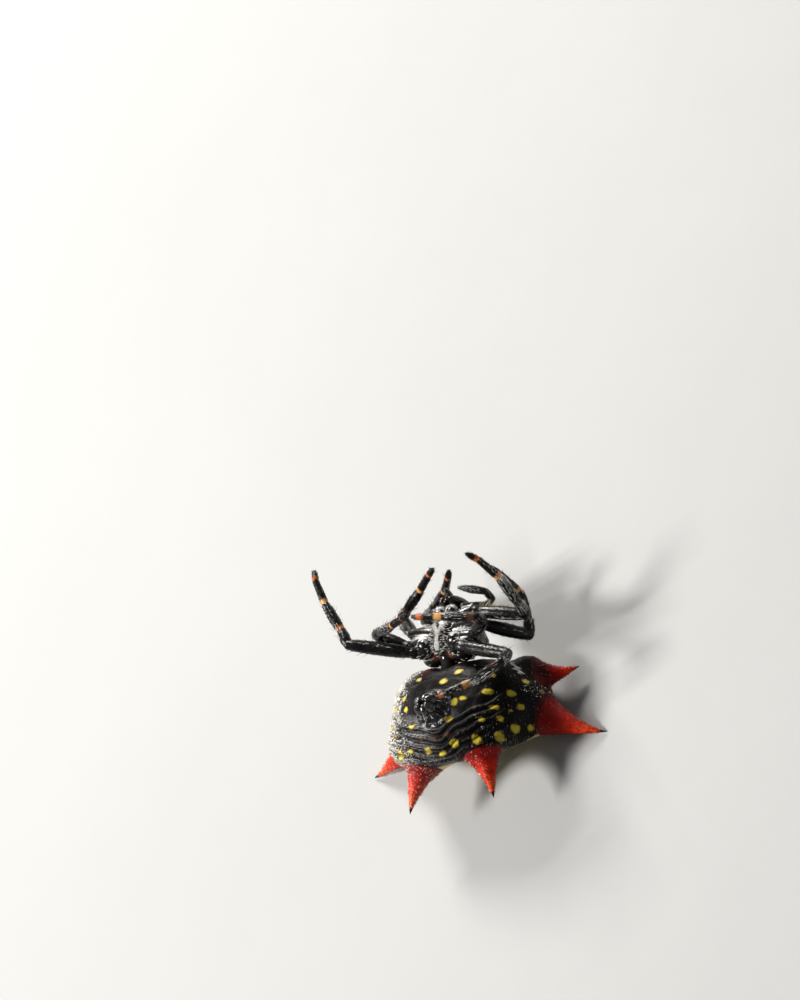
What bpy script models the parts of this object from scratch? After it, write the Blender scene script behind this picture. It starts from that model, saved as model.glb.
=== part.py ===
"""A spiny orb weaver at life size, as a still model that lies on its back with its belly up.

All sizes here are in millimetres, and become metres as each mesh is made. +X is the animal's left,
+Y its head end and +Z its underside. The shield on its back and the tips of its longest pair of
spines rest on small flats at z = 0. Legs 1 to 4 are counted from the head.
"""

import math

import bmesh
import bpy
import numpy as np
from mathutils import Vector

MM = 0.001
GAP = 0.12  # between one piece and the next, small because the legs are only half a millimetre thick
HOME = Vector((0.0, -2.0, 0.0))  # brings the middle of the floor plan to the origin

# The abdomen: a wide shield with a bag-shaped belly under it
SHIELD_HALF_WIDTH = 3.65
SHIELD_CENTRE_Y = 0.95
SHIELD_FRONT = 2.5
SHIELD_REAR = 2.35
PLAN_POWERS = (3.2, 2.5)  # of the plan's outline, ahead of the centre and behind it
RIM_Z = 0.95
REAR_RISE = 0.31  # the rim climbs towards the belly by this times the square of the way back
FRONT_RISE = 0.08
BELLY_Z = 4.05
BELLY_SHIFT = -0.5
BACK_DEPTH = 1.3
BACK_SHIFT = 0.6
BACK_POWER = 1.2
TURNS = 40
LATITUDES = 20
STALK_HOLLOW = (0.42, 0.55, 0.5)  # depth, half width and half height of the hollow that takes the stalk

# Each spine: root on the rim, tip, radius at the root. The other side mirrors it.
SPINES = {
    "front_side": ((3.22, 2.73, 1.08), (4.75, 3.07, 0.5), 0.68),
    "rear_side": ((3.40, 0.98, 1.02), (6.22, 0.0, 0.02), 1.02),
    "rear": ((1.45, -0.88, 2.42), (2.24, -3.11, 2.2), 0.95),
}
SPINE_TIP = 0.07
SPINE_SUNK = 0.9
SPINE_SIDES = 12

MOUND = (0.0, 0.5)
MOUND_RADII = (0.85, 0.6)
MOUND_Z = (3.6, 4.3)
SPINNERET_Z = 4.85

# The prosoma: y, half width, z of the back and z of the belly side
CARAPACE = (
    (3.14, 0.45, 3.10, 3.80),
    (3.22, 0.75, 2.85, 3.95),
    (3.45, 1.10, 2.50, 4.06),
    (3.85, 1.33, 2.16, 4.12),
    (4.30, 1.20, 1.92, 4.12),
    (4.75, 0.96, 1.80, 4.05),
    (5.05, 0.88, 1.78, 3.90),
    (5.18, 0.84, 1.80, 3.60),
    (5.26, 0.80, 1.84, 2.72),
    (5.50, 0.74, 1.95, 2.70),
    (5.66, 0.55, 2.12, 2.62),
)
CARAPACE_SIDES = 20
STERNUM = ((0.0, 3.95, 4.08), (0.56, 0.78, 0.24))
COXA_RADII = (0.36, 0.30)
COXA_ENDS = {1: (1.25, 5.02, 3.62), 2: (1.68, 4.33, 3.78), 3: (1.62, 3.70, 3.90), 4: (1.05, 3.28, 4.10)}
EYES = ((0.13, 5.66, 2.34, 0.09), (0.17, 5.58, 2.02, 0.09), (0.64, 5.46, 2.22, 0.07), (0.69, 5.36, 2.06, 0.07))
MAXILLA = ((0.33, 4.98, 3.86), (0.24, 0.30, 0.24))
LABIUM = ((0.0, 4.78, 4.02), (0.20, 0.20, 0.16))

CHELICERA = ((0.26, 5.56, 2.72), (0.22, 5.62, 4.02))
CHELICERA_RADII = (0.24, 0.26, 0.22, 0.14)
FANG = ((0.19, 5.62, 3.98), (0.08, 5.50, 4.16))

STALK_RADIUS = 0.30
STALK = ((0.0, 2.10, 3.40), (0.0, 3.40, 3.50))
STALK_ENDS = (0.36, 0.74)  # as shares of that line: the seat on the abdomen, and the one on the prosoma

# Leg segments from the hip out: femur, patella, tibia, metatarsus, tarsus
LEG_LENGTHS = {
    1: (2.55, 0.70, 1.50, 1.22, 0.78),
    2: (2.40, 0.68, 1.27, 1.17, 0.77),
    3: (1.90, 0.55, 1.50, 0.87, 0.72),
    4: (3.12, 0.74, 1.52, 1.20, 0.70),
}
LEG_RADII = ((0.25, 0.30, 0.26), (0.26, 0.27, 0.26), (0.25, 0.26, 0.25), (0.25, 0.25, 0.25), (0.24, 0.21, 0.10))
# The pose: for each segment its azimuth from +X towards +Y, and its rise towards +Z, in degrees
LEG_POSE = {
    (1, "left"): ((-9, -13), (60, 70), (98, 62), (126, 61), (153, 45)),
    (1, "right"): ((134, -45), (1, 38), (3, 39), (9, 45), (20, 47)),
    (2, "left"): ((0, -59), (97, 9), (103, 18), (125, 58), (139, 58)),
    (2, "right"): ((139, -24), (14, 33), (26, 24), (19, 32), (11, 34)),
    (3, "left"): ((-2, 39), (-15, 80), (176, 18), (179, 19), (177, 18)),
    (3, "right"): ((157, 14), (-9, 37), (-9, 30), (4, 22), (-3, 28)),
    (4, "left"): ((-18, 4), (-83, 40), (-151, 6), (-156, 19), (-170, -6)),
    (4, "right"): ((173, 28), (120, 4), (123, 10), (113, 14), (106, -1)),
}
LIMB_SIDES = 9

PALP_ROOT = (0.76, 5.28, 3.74)
PALP_LENGTHS = (1.12, 0.40, 0.48, 1.15)
PALP_RADII = ((0.15, 0.17, 0.16), (0.16, 0.17, 0.16), (0.16, 0.16, 0.16), (0.16, 0.17, 0.08))
PALP_POSE = {
    "left": ((30, -57), (36, 10), (98, 71), (177, 41)),
    "right": ((120, -62), (45, -10), (0, 50), (0, 66)),
}
SIDES = {"left": 1, "right": -1}


def material(name, colour, roughness):
    made = bpy.data.materials.new(name)
    made.use_nodes = True
    shader = made.node_tree.nodes["Principled BSDF"]
    shader.inputs["Base Color"].default_value = (*colour, 1)
    shader.inputs["Roughness"].default_value = roughness
    return made


def new_object(name, points, faces, finish=None):
    """A mesh object from points in millimetres."""
    mesh = bpy.data.meshes.new(name)
    mesh.from_pydata([(Vector(p) + HOME) * MM for p in points], [], faces)
    solid = bmesh.new()
    solid.from_mesh(mesh)
    bmesh.ops.recalc_face_normals(solid, faces=solid.faces)
    solid.to_mesh(mesh)
    solid.free()
    mesh.shade_smooth()
    made = bpy.data.objects.new(name, mesh)
    bpy.context.scene.collection.objects.link(made)
    if finish:
        mesh.materials.append(finish)
    return made


def rings_to_solid(name, rings, tips=(None, None)):
    """A closed skin over rings of points, its ends flat or drawn to a tip point."""
    count = len(rings[0])
    points = [p for ring in rings for p in ring]
    faces = []
    for i in range(len(rings) - 1):
        for j in range(count):
            k = (j + 1) % count
            faces.append((i * count + j, i * count + k, (i + 1) * count + k, (i + 1) * count + j))
    for end, tip in zip((0, len(rings) - 1), tips):
        loop = [end * count + j for j in range(count)]
        if tip is None:
            faces.append(tuple(loop))
        else:
            points.append(tip)
            faces += [(loop[j], loop[(j + 1) % count], len(points) - 1) for j in range(count)]
    return new_object(name, points, faces)


def cross_axes(direction):
    """Two unit vectors square to a direction."""
    helper = Vector((0, 0, 1)) if abs(direction.z) < 0.9 else Vector((0, 1, 0))
    across = direction.cross(helper).normalized()
    return across, across.cross(direction).normalized()


def circle(centre, direction, radius, sides):
    across, over = cross_axes(direction)
    turns = [2 * math.pi * j / sides for j in range(sides)]
    return [centre + radius * (math.cos(t) * across + math.sin(t) * over) for t in turns]


def limb_piece(name, start, end, radii, sides=LIMB_SIDES, steps=4):
    """A length of limb from start to end: round ends, and the radii at its start, middle and end."""
    start, end = Vector(start), Vector(end)
    along = (end - start).normalized()
    rings = []
    for tilt in (65, 33):
        out = math.cos(math.radians(tilt)), math.sin(math.radians(tilt))
        rings.append(circle(start - radii[0] * out[1] * along, along, radii[0] * out[0], sides))
    for i in range(steps + 1):
        t = i / steps
        radius = radii[0] * (1 - t) * (1 - 2 * t) + 4 * radii[1] * t * (1 - t) + radii[2] * t * (2 * t - 1)
        rings.append(circle(start.lerp(end, t), along, radius, sides))
    for tilt in (33, 65):
        out = math.cos(math.radians(tilt)), math.sin(math.radians(tilt))
        rings.append(circle(end + radii[2] * out[1] * along, along, radii[2] * out[0], sides))
    return rings_to_solid(name, rings, (start - radii[0] * along, end + radii[2] * along))


def ball(name, centre, radii, rings=6, sides=10):
    """An egg with its own radius along each axis."""
    loops = []
    for i in range(1, rings):
        lat = math.pi * i / rings - math.pi / 2
        loops.append([
            (
                centre[0] + radii[0] * math.cos(lat) * math.cos(2 * math.pi * j / sides),
                centre[1] + radii[1] * math.cos(lat) * math.sin(2 * math.pi * j / sides),
                centre[2] + radii[2] * math.sin(lat),
            )
            for j in range(sides)
        ])
    low, high = (centre[0], centre[1], centre[2] - radii[2]), (centre[0], centre[1], centre[2] + radii[2])
    return rings_to_solid(name, loops, (low, high))


def cone(name, low, high, radii, sides):
    low, high = Vector(low), Vector(high)
    along = (high - low).normalized()
    return rings_to_solid(name, [circle(low, along, radii[0], sides), circle(high, along, radii[1], sides)])


def cut(piece, point, normal):
    """Keeps the part of a piece on the side that normal points to, with a flat face on the cut."""
    solid = bmesh.new()
    solid.from_mesh(piece.data)
    geometry = solid.verts[:] + solid.edges[:] + solid.faces[:]
    where = (Vector(point) + HOME) * MM
    bmesh.ops.bisect_plane(solid, geom=geometry, plane_co=where, plane_no=normal, dist=1e-8, clear_inner=True)
    rim = [e for e in solid.edges if e.is_boundary]
    bmesh.ops.holes_fill(solid, edges=rim, sides=0)
    bmesh.ops.recalc_face_normals(solid, faces=solid.faces)
    solid.to_mesh(piece.data)
    solid.free()
    return piece


def fused(name, pieces, finish):
    """One closed body from overlapping pieces."""
    base, others = pieces[0], pieces[1:]
    if others:
        group = bpy.data.collections.new(name + "_pieces")
        for piece in others:
            group.objects.link(piece)
        union = base.modifiers.new("Union", "BOOLEAN")
        union.operation = "UNION"
        union.operand_type = "COLLECTION"
        union.collection = group
        graph = bpy.context.evaluated_depsgraph_get()
        joined = bpy.data.meshes.new_from_object(base.evaluated_get(graph))
        base.modifiers.clear()
        base.data = joined
        for piece in others:
            bpy.data.objects.remove(piece)
        bpy.data.collections.remove(group)
    keep_largest(base.data)
    base.name = base.data.name = name
    base.data.shade_smooth()
    base.data.materials.clear()
    base.data.materials.append(finish)
    return base


def keep_largest(mesh):
    """Drops every closed surface but the largest."""
    solid = bmesh.new()
    solid.from_mesh(mesh)
    bmesh.ops.remove_doubles(solid, verts=solid.verts, dist=1e-8)
    left, shells = set(solid.verts), []
    while left:
        shell, edge = set(), [left.pop()]
        while edge:
            vert = edge.pop()
            shell.add(vert)
            near = {e.other_vert(vert) for e in vert.link_edges} - shell
            edge += near & left
            left -= near
        shells.append(shell)
    shells.sort(key=len)
    loose = [v for shell in shells[:-1] for v in shell]
    bmesh.ops.delete(solid, geom=loose, context="VERTS")
    solid.to_mesh(mesh)
    solid.free()


def rim_height(y):
    """Height of the abdomen's rim, which climbs towards the rear and a little towards the front."""
    back = 1.0 - y
    return RIM_Z + (REAR_RISE if back > 0 else FRONT_RISE) * back * back


def power(value, exponent):
    return math.copysign(abs(value) ** exponent, value)


def abdomen_point(turn, lat):
    """A point of the abdomen: turn goes round the rim from +X, lat from the back to the belly."""
    out, ahead = math.cos(turn), math.sin(turn)
    if lat > 0:
        profile = 2.6 + 1.9 * max(ahead, 0) ** 3 - 0.3 * max(-ahead, 0) ** 2
        shift = BELLY_SHIFT
    else:
        profile = BACK_POWER + 0.2 * max(ahead, 0)
        shift = BACK_SHIFT
    wide = math.cos(lat) ** (2 / profile)
    tall = abs(math.sin(lat)) ** (2 / profile)
    length, plan = (SHIELD_FRONT, PLAN_POWERS[0]) if ahead > 0 else (SHIELD_REAR, PLAN_POWERS[1])
    x = SHIELD_HALF_WIDTH * wide * power(out, 2 / plan)
    y = SHIELD_CENTRE_Y + shift * tall + length * wide * power(ahead, 2 / plan)
    rim = rim_height(y)
    if lat < 0:
        return x, y, max(rim - BACK_DEPTH * tall, 0.0)
    z = rim + (BELLY_Z - rim) * tall
    if ahead > 0:
        deep, half_width, half_height = STALK_HOLLOW
        y -= deep * math.exp(-((x / half_width) ** 2) - ((z - STALK[1][2]) / half_height) ** 2)
    return x, y, z


def spine(name, side, root, tip, radius):
    """A flared, tapering spine, its root sunk into the shield."""
    root = Vector((side * root[0], root[1], root[2]))
    tip = Vector((side * tip[0], tip[1], tip[2]))
    along = (tip - root).normalized()
    rings = [circle(root - SPINE_SUNK * along, along, 0.5 * radius, SPINE_SIDES)]
    for t in (0.0, 0.1, 0.22, 0.38, 0.56, 0.76, 0.96):
        thick = radius * (0.68 * (1 - t) + 0.32 * (1 - t) ** 4)
        rings.append(circle(root.lerp(tip, t), along, max(thick, SPINE_TIP), SPINE_SIDES))
    return rings_to_solid(name, rings, (None, tip + SPINE_TIP * along))


def make_abdomen(finish):
    rings = []
    for i in range(1, LATITUDES):
        lat = math.pi * i / LATITUDES - math.pi / 2
        rings.append([abdomen_point(2 * math.pi * j / TURNS, lat) for j in range(TURNS)])
    poles = abdomen_point(0.0, -math.pi / 2), abdomen_point(0.0, math.pi / 2)
    pieces = [rings_to_solid("shield", rings, poles)]
    for name, (root, tip, radius) in SPINES.items():
        for side in SIDES.values():
            pieces.append(spine(name, side, root, tip, radius))
    pieces.append(cone("mound", (*MOUND, MOUND_Z[0]), (*MOUND, MOUND_Z[1]), MOUND_RADII, 16))
    rear, front, along = stalk_line()
    end = rear.lerp(front, STALK_ENDS[0]) - GAP / 2 * along
    pieces.append(cone("stalk_seat", rear, end, (0.5, STALK_RADIUS), 12))
    made = fused("abdomen", pieces, finish)
    return cut(made, -HOME, (0, 0, 1))


def stalk_line():
    rear, front = Vector(STALK[0]), Vector(STALK[1])
    return rear, front, (front - rear).normalized()


def make_spinnerets(finish):
    """A low ring on the mound with six short nozzles."""
    base = MOUND_Z[1] + GAP
    pieces = [cone("ring", (*MOUND, base), (*MOUND, base + 0.18), (0.56, 0.50), 16)]
    for i in range(6):
        turn = math.pi * (i + 0.5) / 3
        reach = 0.25 if i % 3 == 1 else 0.30
        foot = Vector((MOUND[0] + reach * math.cos(turn), MOUND[1] + reach * math.sin(turn), base + 0.1))
        top = Vector((MOUND[0] + 0.17 * math.cos(turn), MOUND[1] + 0.17 * math.sin(turn), SPINNERET_Z))
        pieces.append(limb_piece("nozzle", foot, top, (0.15, 0.13, 0.07), 8, 2))
    return fused("spinnerets", pieces, finish)


def smooth_stations(stations, count):
    """Stations read from a smooth curve through the given ones."""
    table = np.array(stations)
    at = np.linspace(0, len(table) - 1, count)
    rows = []
    for value in at:
        i = min(int(value), len(table) - 2)
        t = value - i
        before, after = table[max(i - 1, 0)], table[min(i + 2, len(table) - 1)]
        a, b = table[i], table[i + 1]
        rows.append(0.5 * (2 * a + (b - before) * t + (2 * before - 5 * a + 4 * b - after) * t**2
                           + (3 * a - before - 3 * b + after) * t**3))
    return rows


def make_carapace():
    rings = []
    for y, half, back, belly in smooth_stations(CARAPACE, 17):
        ring = []
        for j in range(CARAPACE_SIDES):
            turn = 2 * math.pi * j / CARAPACE_SIDES
            high = power(math.sin(turn), 0.85)
            middle = (back + belly) / 2
            ring.append((half * power(math.cos(turn), 0.85), y, middle + (belly - back) / 2 * high))
        rings.append(ring)
    return rings_to_solid("carapace", rings)


def direction_of(azimuth, rise):
    a, b = math.radians(azimuth), math.radians(rise)
    return Vector((math.cos(b) * math.cos(a), math.cos(b) * math.sin(a), math.sin(b)))


def chain_of(start, lengths, pose):
    """Joint points of a limb, from its start through each segment."""
    points = [Vector(start)]
    for length, (azimuth, rise) in zip(lengths, pose):
        points.append(points[-1] + length * direction_of(azimuth, rise))
    return points


def mitre(before, joint, after):
    """The unit normal of the plane in which two lengths of limb meet."""
    return ((joint - before).normalized() + (after - joint).normalized()).normalized()


def coxa_root(number, side):
    x, y, z = COXA_ENDS[number]
    return Vector((side * 0.42, 3.95 + 0.6 * (y - 3.95), 3.78))


def leg_points(number, side_name):
    side = SIDES[side_name]
    x, y, z = COXA_ENDS[number]
    return chain_of((side * x, y, z), LEG_LENGTHS[number], LEG_POSE[number, side_name])


def palp_points(side_name):
    x, y, z = PALP_ROOT
    return chain_of((SIDES[side_name] * x, y, z), PALP_LENGTHS, PALP_POSE[side_name])


def make_prosoma(finish):
    pieces = [make_carapace(), ball("sternum", *STERNUM, 8, 16), ball("labium", *LABIUM)]
    for side_name, side in SIDES.items():
        for number in COXA_ENDS:
            points = leg_points(number, side_name)
            root = coxa_root(number, side)
            radii = (COXA_RADII[0], COXA_RADII[0], COXA_RADII[1])
            coxa = limb_piece("coxa", root, points[0], radii, 10, 3)
            normal = mitre(root, points[0], points[1])
            pieces.append(cut(coxa, points[0] - GAP / 2 * normal, -normal))
        x, y, z = MAXILLA[0]
        pieces.append(ball("maxilla", (side * x, y, z), MAXILLA[1]))
        points = palp_points(side_name)
        root = Vector((side * x, y, z))
        seat = limb_piece("palp_seat", root, points[0], (0.2, 0.18, 0.16), 9, 2)
        normal = mitre(root, points[0], points[1])
        pieces.append(cut(seat, points[0] - GAP / 2 * normal, -normal))
        for x, y, z, radius in EYES:
            pieces.append(ball("eye", (side * x, y, z), (radius, radius, radius), 5, 8))
    rear, front, along = stalk_line()
    start = rear.lerp(front, STALK_ENDS[1]) + GAP / 2 * along
    pieces.append(cone("stalk_seat", start, front, (STALK_RADIUS, 0.45), 12))
    return fused("prosoma", pieces, finish)


def make_pedicel(finish):
    rear, front, along = stalk_line()
    start = rear.lerp(front, STALK_ENDS[0]) + GAP / 2 * along
    end = rear.lerp(front, STALK_ENDS[1]) - GAP / 2 * along
    radii = (STALK_RADIUS, 0.9 * STALK_RADIUS, STALK_RADIUS)
    rings = [circle(start.lerp(end, i / 2), along, radius, 12) for i, radius in enumerate(radii)]
    return fused("pedicel", [rings_to_solid("stalk", rings)], finish)


def make_chelicera(side_name, finish):
    side = SIDES[side_name]
    base, end = (Vector((side * x, y, z)) for x, y, z in CHELICERA)
    first = base + Vector((0, 0, GAP))
    rings = [circle(first.lerp(end, i / 3), Vector((0, 0, 1)), radius, 12) for i, radius in enumerate(CHELICERA_RADII)]
    body = rings_to_solid("body", rings)
    root, point = (Vector((side * x, y, z)) for x, y, z in FANG)
    fang = limb_piece("fang", root, point, (0.08, 0.065, 0.03), 7, 2)
    return fused("chelicera_" + side_name, [body, fang], finish)


def make_femur(number, side_name, finish):
    points = leg_points(number, side_name)
    start, knee = points[0], points[1]
    piece = limb_piece("femur", start, knee, LEG_RADII[0], LIMB_SIDES, 5)
    hip = mitre(coxa_root(number, SIDES[side_name]), start, knee)
    bend = mitre(start, knee, points[2])
    cut(piece, start + GAP / 2 * hip, hip)
    cut(piece, knee - GAP / 2 * bend, -bend)
    return fused(f"leg_{number}_{side_name}_femur", [piece], finish)


def make_shin(number, side_name, finish):
    """The leg from its knee to its claws, as one piece."""
    points = leg_points(number, side_name)
    pieces = []
    for i, radii in enumerate(LEG_RADII[1:], start=1):
        pieces.append(limb_piece("segment", points[i], points[i + 1], radii, LIMB_SIDES, 3))
    bend = mitre(points[0], points[1], points[2])
    cut(pieces[0], points[1] + GAP / 2 * bend, bend)
    return fused(f"leg_{number}_{side_name}_shin", pieces, finish)


def make_palp(side_name, finish):
    points = palp_points(side_name)
    pieces = []
    for i, radii in enumerate(PALP_RADII):
        pieces.append(limb_piece("segment", points[i], points[i + 1], radii, 8, 3))
    x, y, z = MAXILLA[0]
    hip = mitre(Vector((SIDES[side_name] * x, y, z)), points[0], points[1])
    cut(pieces[0], points[0] + GAP / 2 * hip, hip)
    return fused("palp_" + side_name, pieces, finish)


def main():
    for old in list(bpy.data.objects):
        bpy.data.objects.remove(old)
    black = material("black_cuticle", (0.012, 0.011, 0.012), 0.35)
    spotted = material("spotted_abdomen", (0.018, 0.014, 0.012), 0.4)
    leg_black = material("leg_cuticle", (0.014, 0.012, 0.012), 0.4)
    brown = material("stalk_membrane", (0.09, 0.035, 0.015), 0.45)
    make_abdomen(spotted)
    make_spinnerets(black)
    make_pedicel(brown)
    make_prosoma(black)
    for side_name in SIDES:
        make_chelicera(side_name, black)
        make_palp(side_name, leg_black)
        for number in LEG_LENGTHS:
            make_femur(number, side_name, leg_black)
            make_shin(number, side_name, leg_black)


main()
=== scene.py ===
"""The looks of a life-size spiny orb weaver, lying on its back with its belly up.

Sizes are in millimetres in the animal's own frame, and become metres as each mesh is made: +X is
its left, +Y its head end, +Z its underside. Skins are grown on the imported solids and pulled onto
smooth formulas of the same shape. Hairs are thin closed spikes of mesh.
"""

import math
from typing import NamedTuple

import bmesh
import bpy
import numpy as np
from mathutils import Matrix, Vector


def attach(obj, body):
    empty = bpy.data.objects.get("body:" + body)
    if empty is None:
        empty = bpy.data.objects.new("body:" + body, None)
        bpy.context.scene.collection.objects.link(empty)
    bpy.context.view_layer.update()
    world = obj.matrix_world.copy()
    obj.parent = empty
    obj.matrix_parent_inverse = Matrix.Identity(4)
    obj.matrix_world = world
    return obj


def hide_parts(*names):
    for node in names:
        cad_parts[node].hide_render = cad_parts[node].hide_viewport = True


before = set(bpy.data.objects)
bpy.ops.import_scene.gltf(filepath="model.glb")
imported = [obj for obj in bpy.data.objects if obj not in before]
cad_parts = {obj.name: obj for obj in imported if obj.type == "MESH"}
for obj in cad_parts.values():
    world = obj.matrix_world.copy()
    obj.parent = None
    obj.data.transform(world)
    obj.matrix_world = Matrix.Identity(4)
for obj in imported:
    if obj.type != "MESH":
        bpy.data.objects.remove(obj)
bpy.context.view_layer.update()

MM = 0.001
HOME = np.array([0.0, -2.0, 0.0])
FINE = 1.0
rng = np.random.default_rng(11)

# The photograph: camera direction, picture axes, pixels per millimetre and the pixel of the origin
TOWARDS = np.array([0.6, -0.38374617, 0.70195362])
RIGHT = np.array([0.78205055, 0.09652562, -0.61569452])
UPWARD = np.array([0.1685139, 0.91837992, 0.35802427])
PIXELS = 23.7327
ORIGIN_PIXEL = (491.0, 756.0)
PICTURE_MIDDLE = (400, 500)

# The abdomen, as in the solids
HALF_WIDTH = 3.65
CENTRE_Y = 0.95
LENGTHS = (2.5, 2.35)
PLAN_POWERS = (3.2, 2.5)
RIM_Z, REAR_RISE, FRONT_RISE = 0.95, 0.31, 0.08
BELLY_Z, BELLY_SHIFT = 4.05, -0.5
BACK_DEPTH, BACK_SHIFT, BACK_POWER = 1.3, 0.6, 1.2
STALK_HOLLOW = (0.42, 0.55, 0.42)
STALK_Z = 3.12
SPINES = {
    "front_side": ((3.22, 2.73, 1.08), (4.75, 3.07, 0.5), 0.68, (0.0, -0.10, -0.02)),
    "rear_side": ((3.40, 0.98, 1.02), (6.22, 0.0, 0.06), 1.02, (0.04, -0.16, -0.05)),
    "rear": ((1.45, -0.88, 2.42), (2.24, -3.11, 2.2), 0.95, (0.08, 0.02, 0.05)),
}
MOUND = np.array([0.0, 0.60])
MOUND_TOP = 4.46

# Yellow spots of the belly: x, y, z of the middle, half width and half length. The first are on both sides.
SPOTS_BOTH = (
    (2.46, 1.15, 3.55, 0.28, 0.16), (3.18, 1.19, 2.86, 0.22, 0.18), (3.40, 1.90, 2.29, 0.20, 0.15),
    (2.53, 1.92, 3.43, 0.13, 0.12), (3.73, 1.55, 1.69, 0.17, 0.16), (3.42, 0.69, 2.46, 0.17, 0.17),
    (3.22, 0.41, 2.85, 0.09, 0.09), (2.74, 0.46, 3.38, 0.25, 0.14), (2.33, -0.11, 3.62, 0.17, 0.14),
    (2.96, -0.03, 3.17, 0.17, 0.17), (3.29, -0.29, 2.49, 0.22, 0.24), (2.84, -0.74, 2.92, 0.20, 0.30),
    (2.03, -0.93, 3.46, 0.24, 0.26), (3.50, 0.00, 1.77, 0.15, 0.17),
)
SPOTS_LEFT = (
    (1.06, 2.17, 3.89, 0.27, 0.16), (0.35, 1.82, 3.98, 0.26, 0.17), (1.35, 1.36, 3.97, 0.21, 0.14),
    (1.06, 0.77, 3.99, 0.21, 0.20), (1.45, 0.88, 3.94, 0.20, 0.11), (0.85, 0.03, 4.00, 0.26, 0.20),
    (1.03, -1.00, 3.66, 0.27, 0.20), (0.34, -1.29, 3.50, 0.20, 0.11),
)
SPOTS_RIGHT = (
    (-0.39, -1.09, 3.65, 0.21, 0.18), (-1.13, 0.06, 3.97, 0.21, 0.20), (-1.63, 0.91, 3.89, 0.15, 0.15),
    (-1.82, 1.45, 3.84, 0.18, 0.17), (-1.34, -0.98, 3.62, 0.20, 0.13), (-1.06, 2.17, 3.89, 0.2, 0.14),
)
BROWN_SPOTS = (
    (0.04, -0.68, 3.84, 0.18, 0.13), (0.76, -0.61, 3.85, 0.21, 0.14), (2.01, 0.43, 3.78, 0.11, 0.10),
    (-0.14, -1.58, 3.02, 0.11, 0.20), (0.75, -1.50, 2.90, 0.13, 0.17),
    (-0.69, -0.60, 3.86, 0.21, 0.13), (-2.01, 0.43, 3.78, 0.11, 0.10), (-1.99, -0.13, 3.75, 0.13, 0.10),
)
# Grooves that run round behind the mound: where each one crosses the midline
GROOVES = (-0.20, -0.52, -0.90, -1.30, -1.72, -2.15)

# The prosoma, as in the solids: y, half width, z of the back and z of the belly side
CARAPACE = np.array((
    (3.14, 0.45, 3.10, 3.80), (3.22, 0.75, 2.85, 3.95), (3.45, 1.10, 2.50, 4.06),
    (3.85, 1.33, 2.16, 4.12), (4.30, 1.20, 1.92, 4.12), (4.75, 0.96, 1.80, 4.05),
    (5.05, 0.88, 1.78, 3.90), (5.18, 0.84, 1.80, 3.60), (5.26, 0.80, 1.84, 2.72),
    (5.50, 0.74, 1.95, 2.70), (5.66, 0.55, 2.12, 2.62),
))
COXA_ENDS = {1: (1.25, 5.02, 3.62), 2: (1.68, 4.33, 3.78), 3: (1.62, 3.70, 3.90), 4: (1.05, 3.28, 4.10)}
# Eyes, on both sides: x, y, z and radius, the two middle ones first
EYES = (
    (0.13, 5.66, 2.34, 0.09), (0.17, 5.58, 2.02, 0.09), (0.64, 5.46, 2.22, 0.07), (0.69, 5.36, 2.06, 0.07),
)

# Leg segments from the hip out: femur, patella, tibia, metatarsus, tarsus
LEG_LENGTHS = {
    1: (2.55, 0.70, 1.50, 1.22, 0.78), 2: (2.40, 0.68, 1.27, 1.17, 0.77),
    3: (1.90, 0.55, 1.50, 0.87, 0.72), 4: (3.12, 0.74, 1.52, 1.20, 0.70),
}
LEG_POSE = {
    (1, "left"): ((-9, -13), (60, 70), (98, 62), (126, 61), (153, 45)),
    (1, "right"): ((134, -45), (1, 38), (3, 39), (9, 45), (20, 47)),
    (2, "left"): ((0, -59), (97, 9), (103, 18), (125, 58), (139, 58)),
    (2, "right"): ((139, -24), (14, 33), (26, 24), (19, 32), (11, 34)),
    (3, "left"): ((-2, 39), (-15, 80), (176, 18), (179, 19), (177, 18)),
    (3, "right"): ((157, 14), (-9, 37), (-9, 30), (4, 22), (-3, 28)),
    (4, "left"): ((-18, 4), (-83, 40), (-151, 6), (-156, 19), (-170, -6)),
    (4, "right"): ((173, 28), (120, 4), (123, 10), (113, 14), (106, -1)),
}
PALP_ROOT = (0.76, 5.28, 3.74)
PALP_LENGTHS = (1.12, 0.40, 0.48, 1.15)
PALP_POSE = {
    "left": ((30, -57), (36, 10), (98, 71), (177, 41)),
    "right": ((120, -62), (45, -10), (0, 50), (0, 66)),
}
SIDES = {"left": 1, "right": -1}

BLACK = (0.0022, 0.0020, 0.0022)
WHITE_HAIR = (0.93, 0.92, 0.88)
BROWN_HAIR = (0.05, 0.032, 0.022)
ORANGE = (0.52, 0.17, 0.035)
PALE_ORANGE = (0.60, 0.30, 0.09)
RED_ORANGE = (0.46, 0.11, 0.022)
BROWN = (0.060, 0.023, 0.010)
BLACK_HAIR = (0.014, 0.011, 0.010)
# How deep the roots of hairs sit in the skin
ROOT_DEPTH = 0.008
DOWN = (0.34, 0.33, 0.31)


# Meshes
def unit(v):
    v = np.asarray(v, float)
    return v / np.maximum(np.linalg.norm(v, axis=-1, keepdims=True), 1e-12)


def smooth(low, high, value):
    t = np.clip((value - low) / (high - low), 0, 1)
    return t * t * (3 - 2 * t)


def hump(value, width):
    """One where the value is 0, falling off over the width."""
    return np.exp(-((value / width) ** 2))


def pick(share, count):
    """Numbers of different points, drawn by their shares."""
    return rng.choice(len(share), count, replace=False, p=share / share.sum())


def along_skin(way, normal):
    """A direction, or one for each point, laid flat on the skin."""
    return unit(way - normal * (way * normal).sum(-1, keepdims=True))


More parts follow.
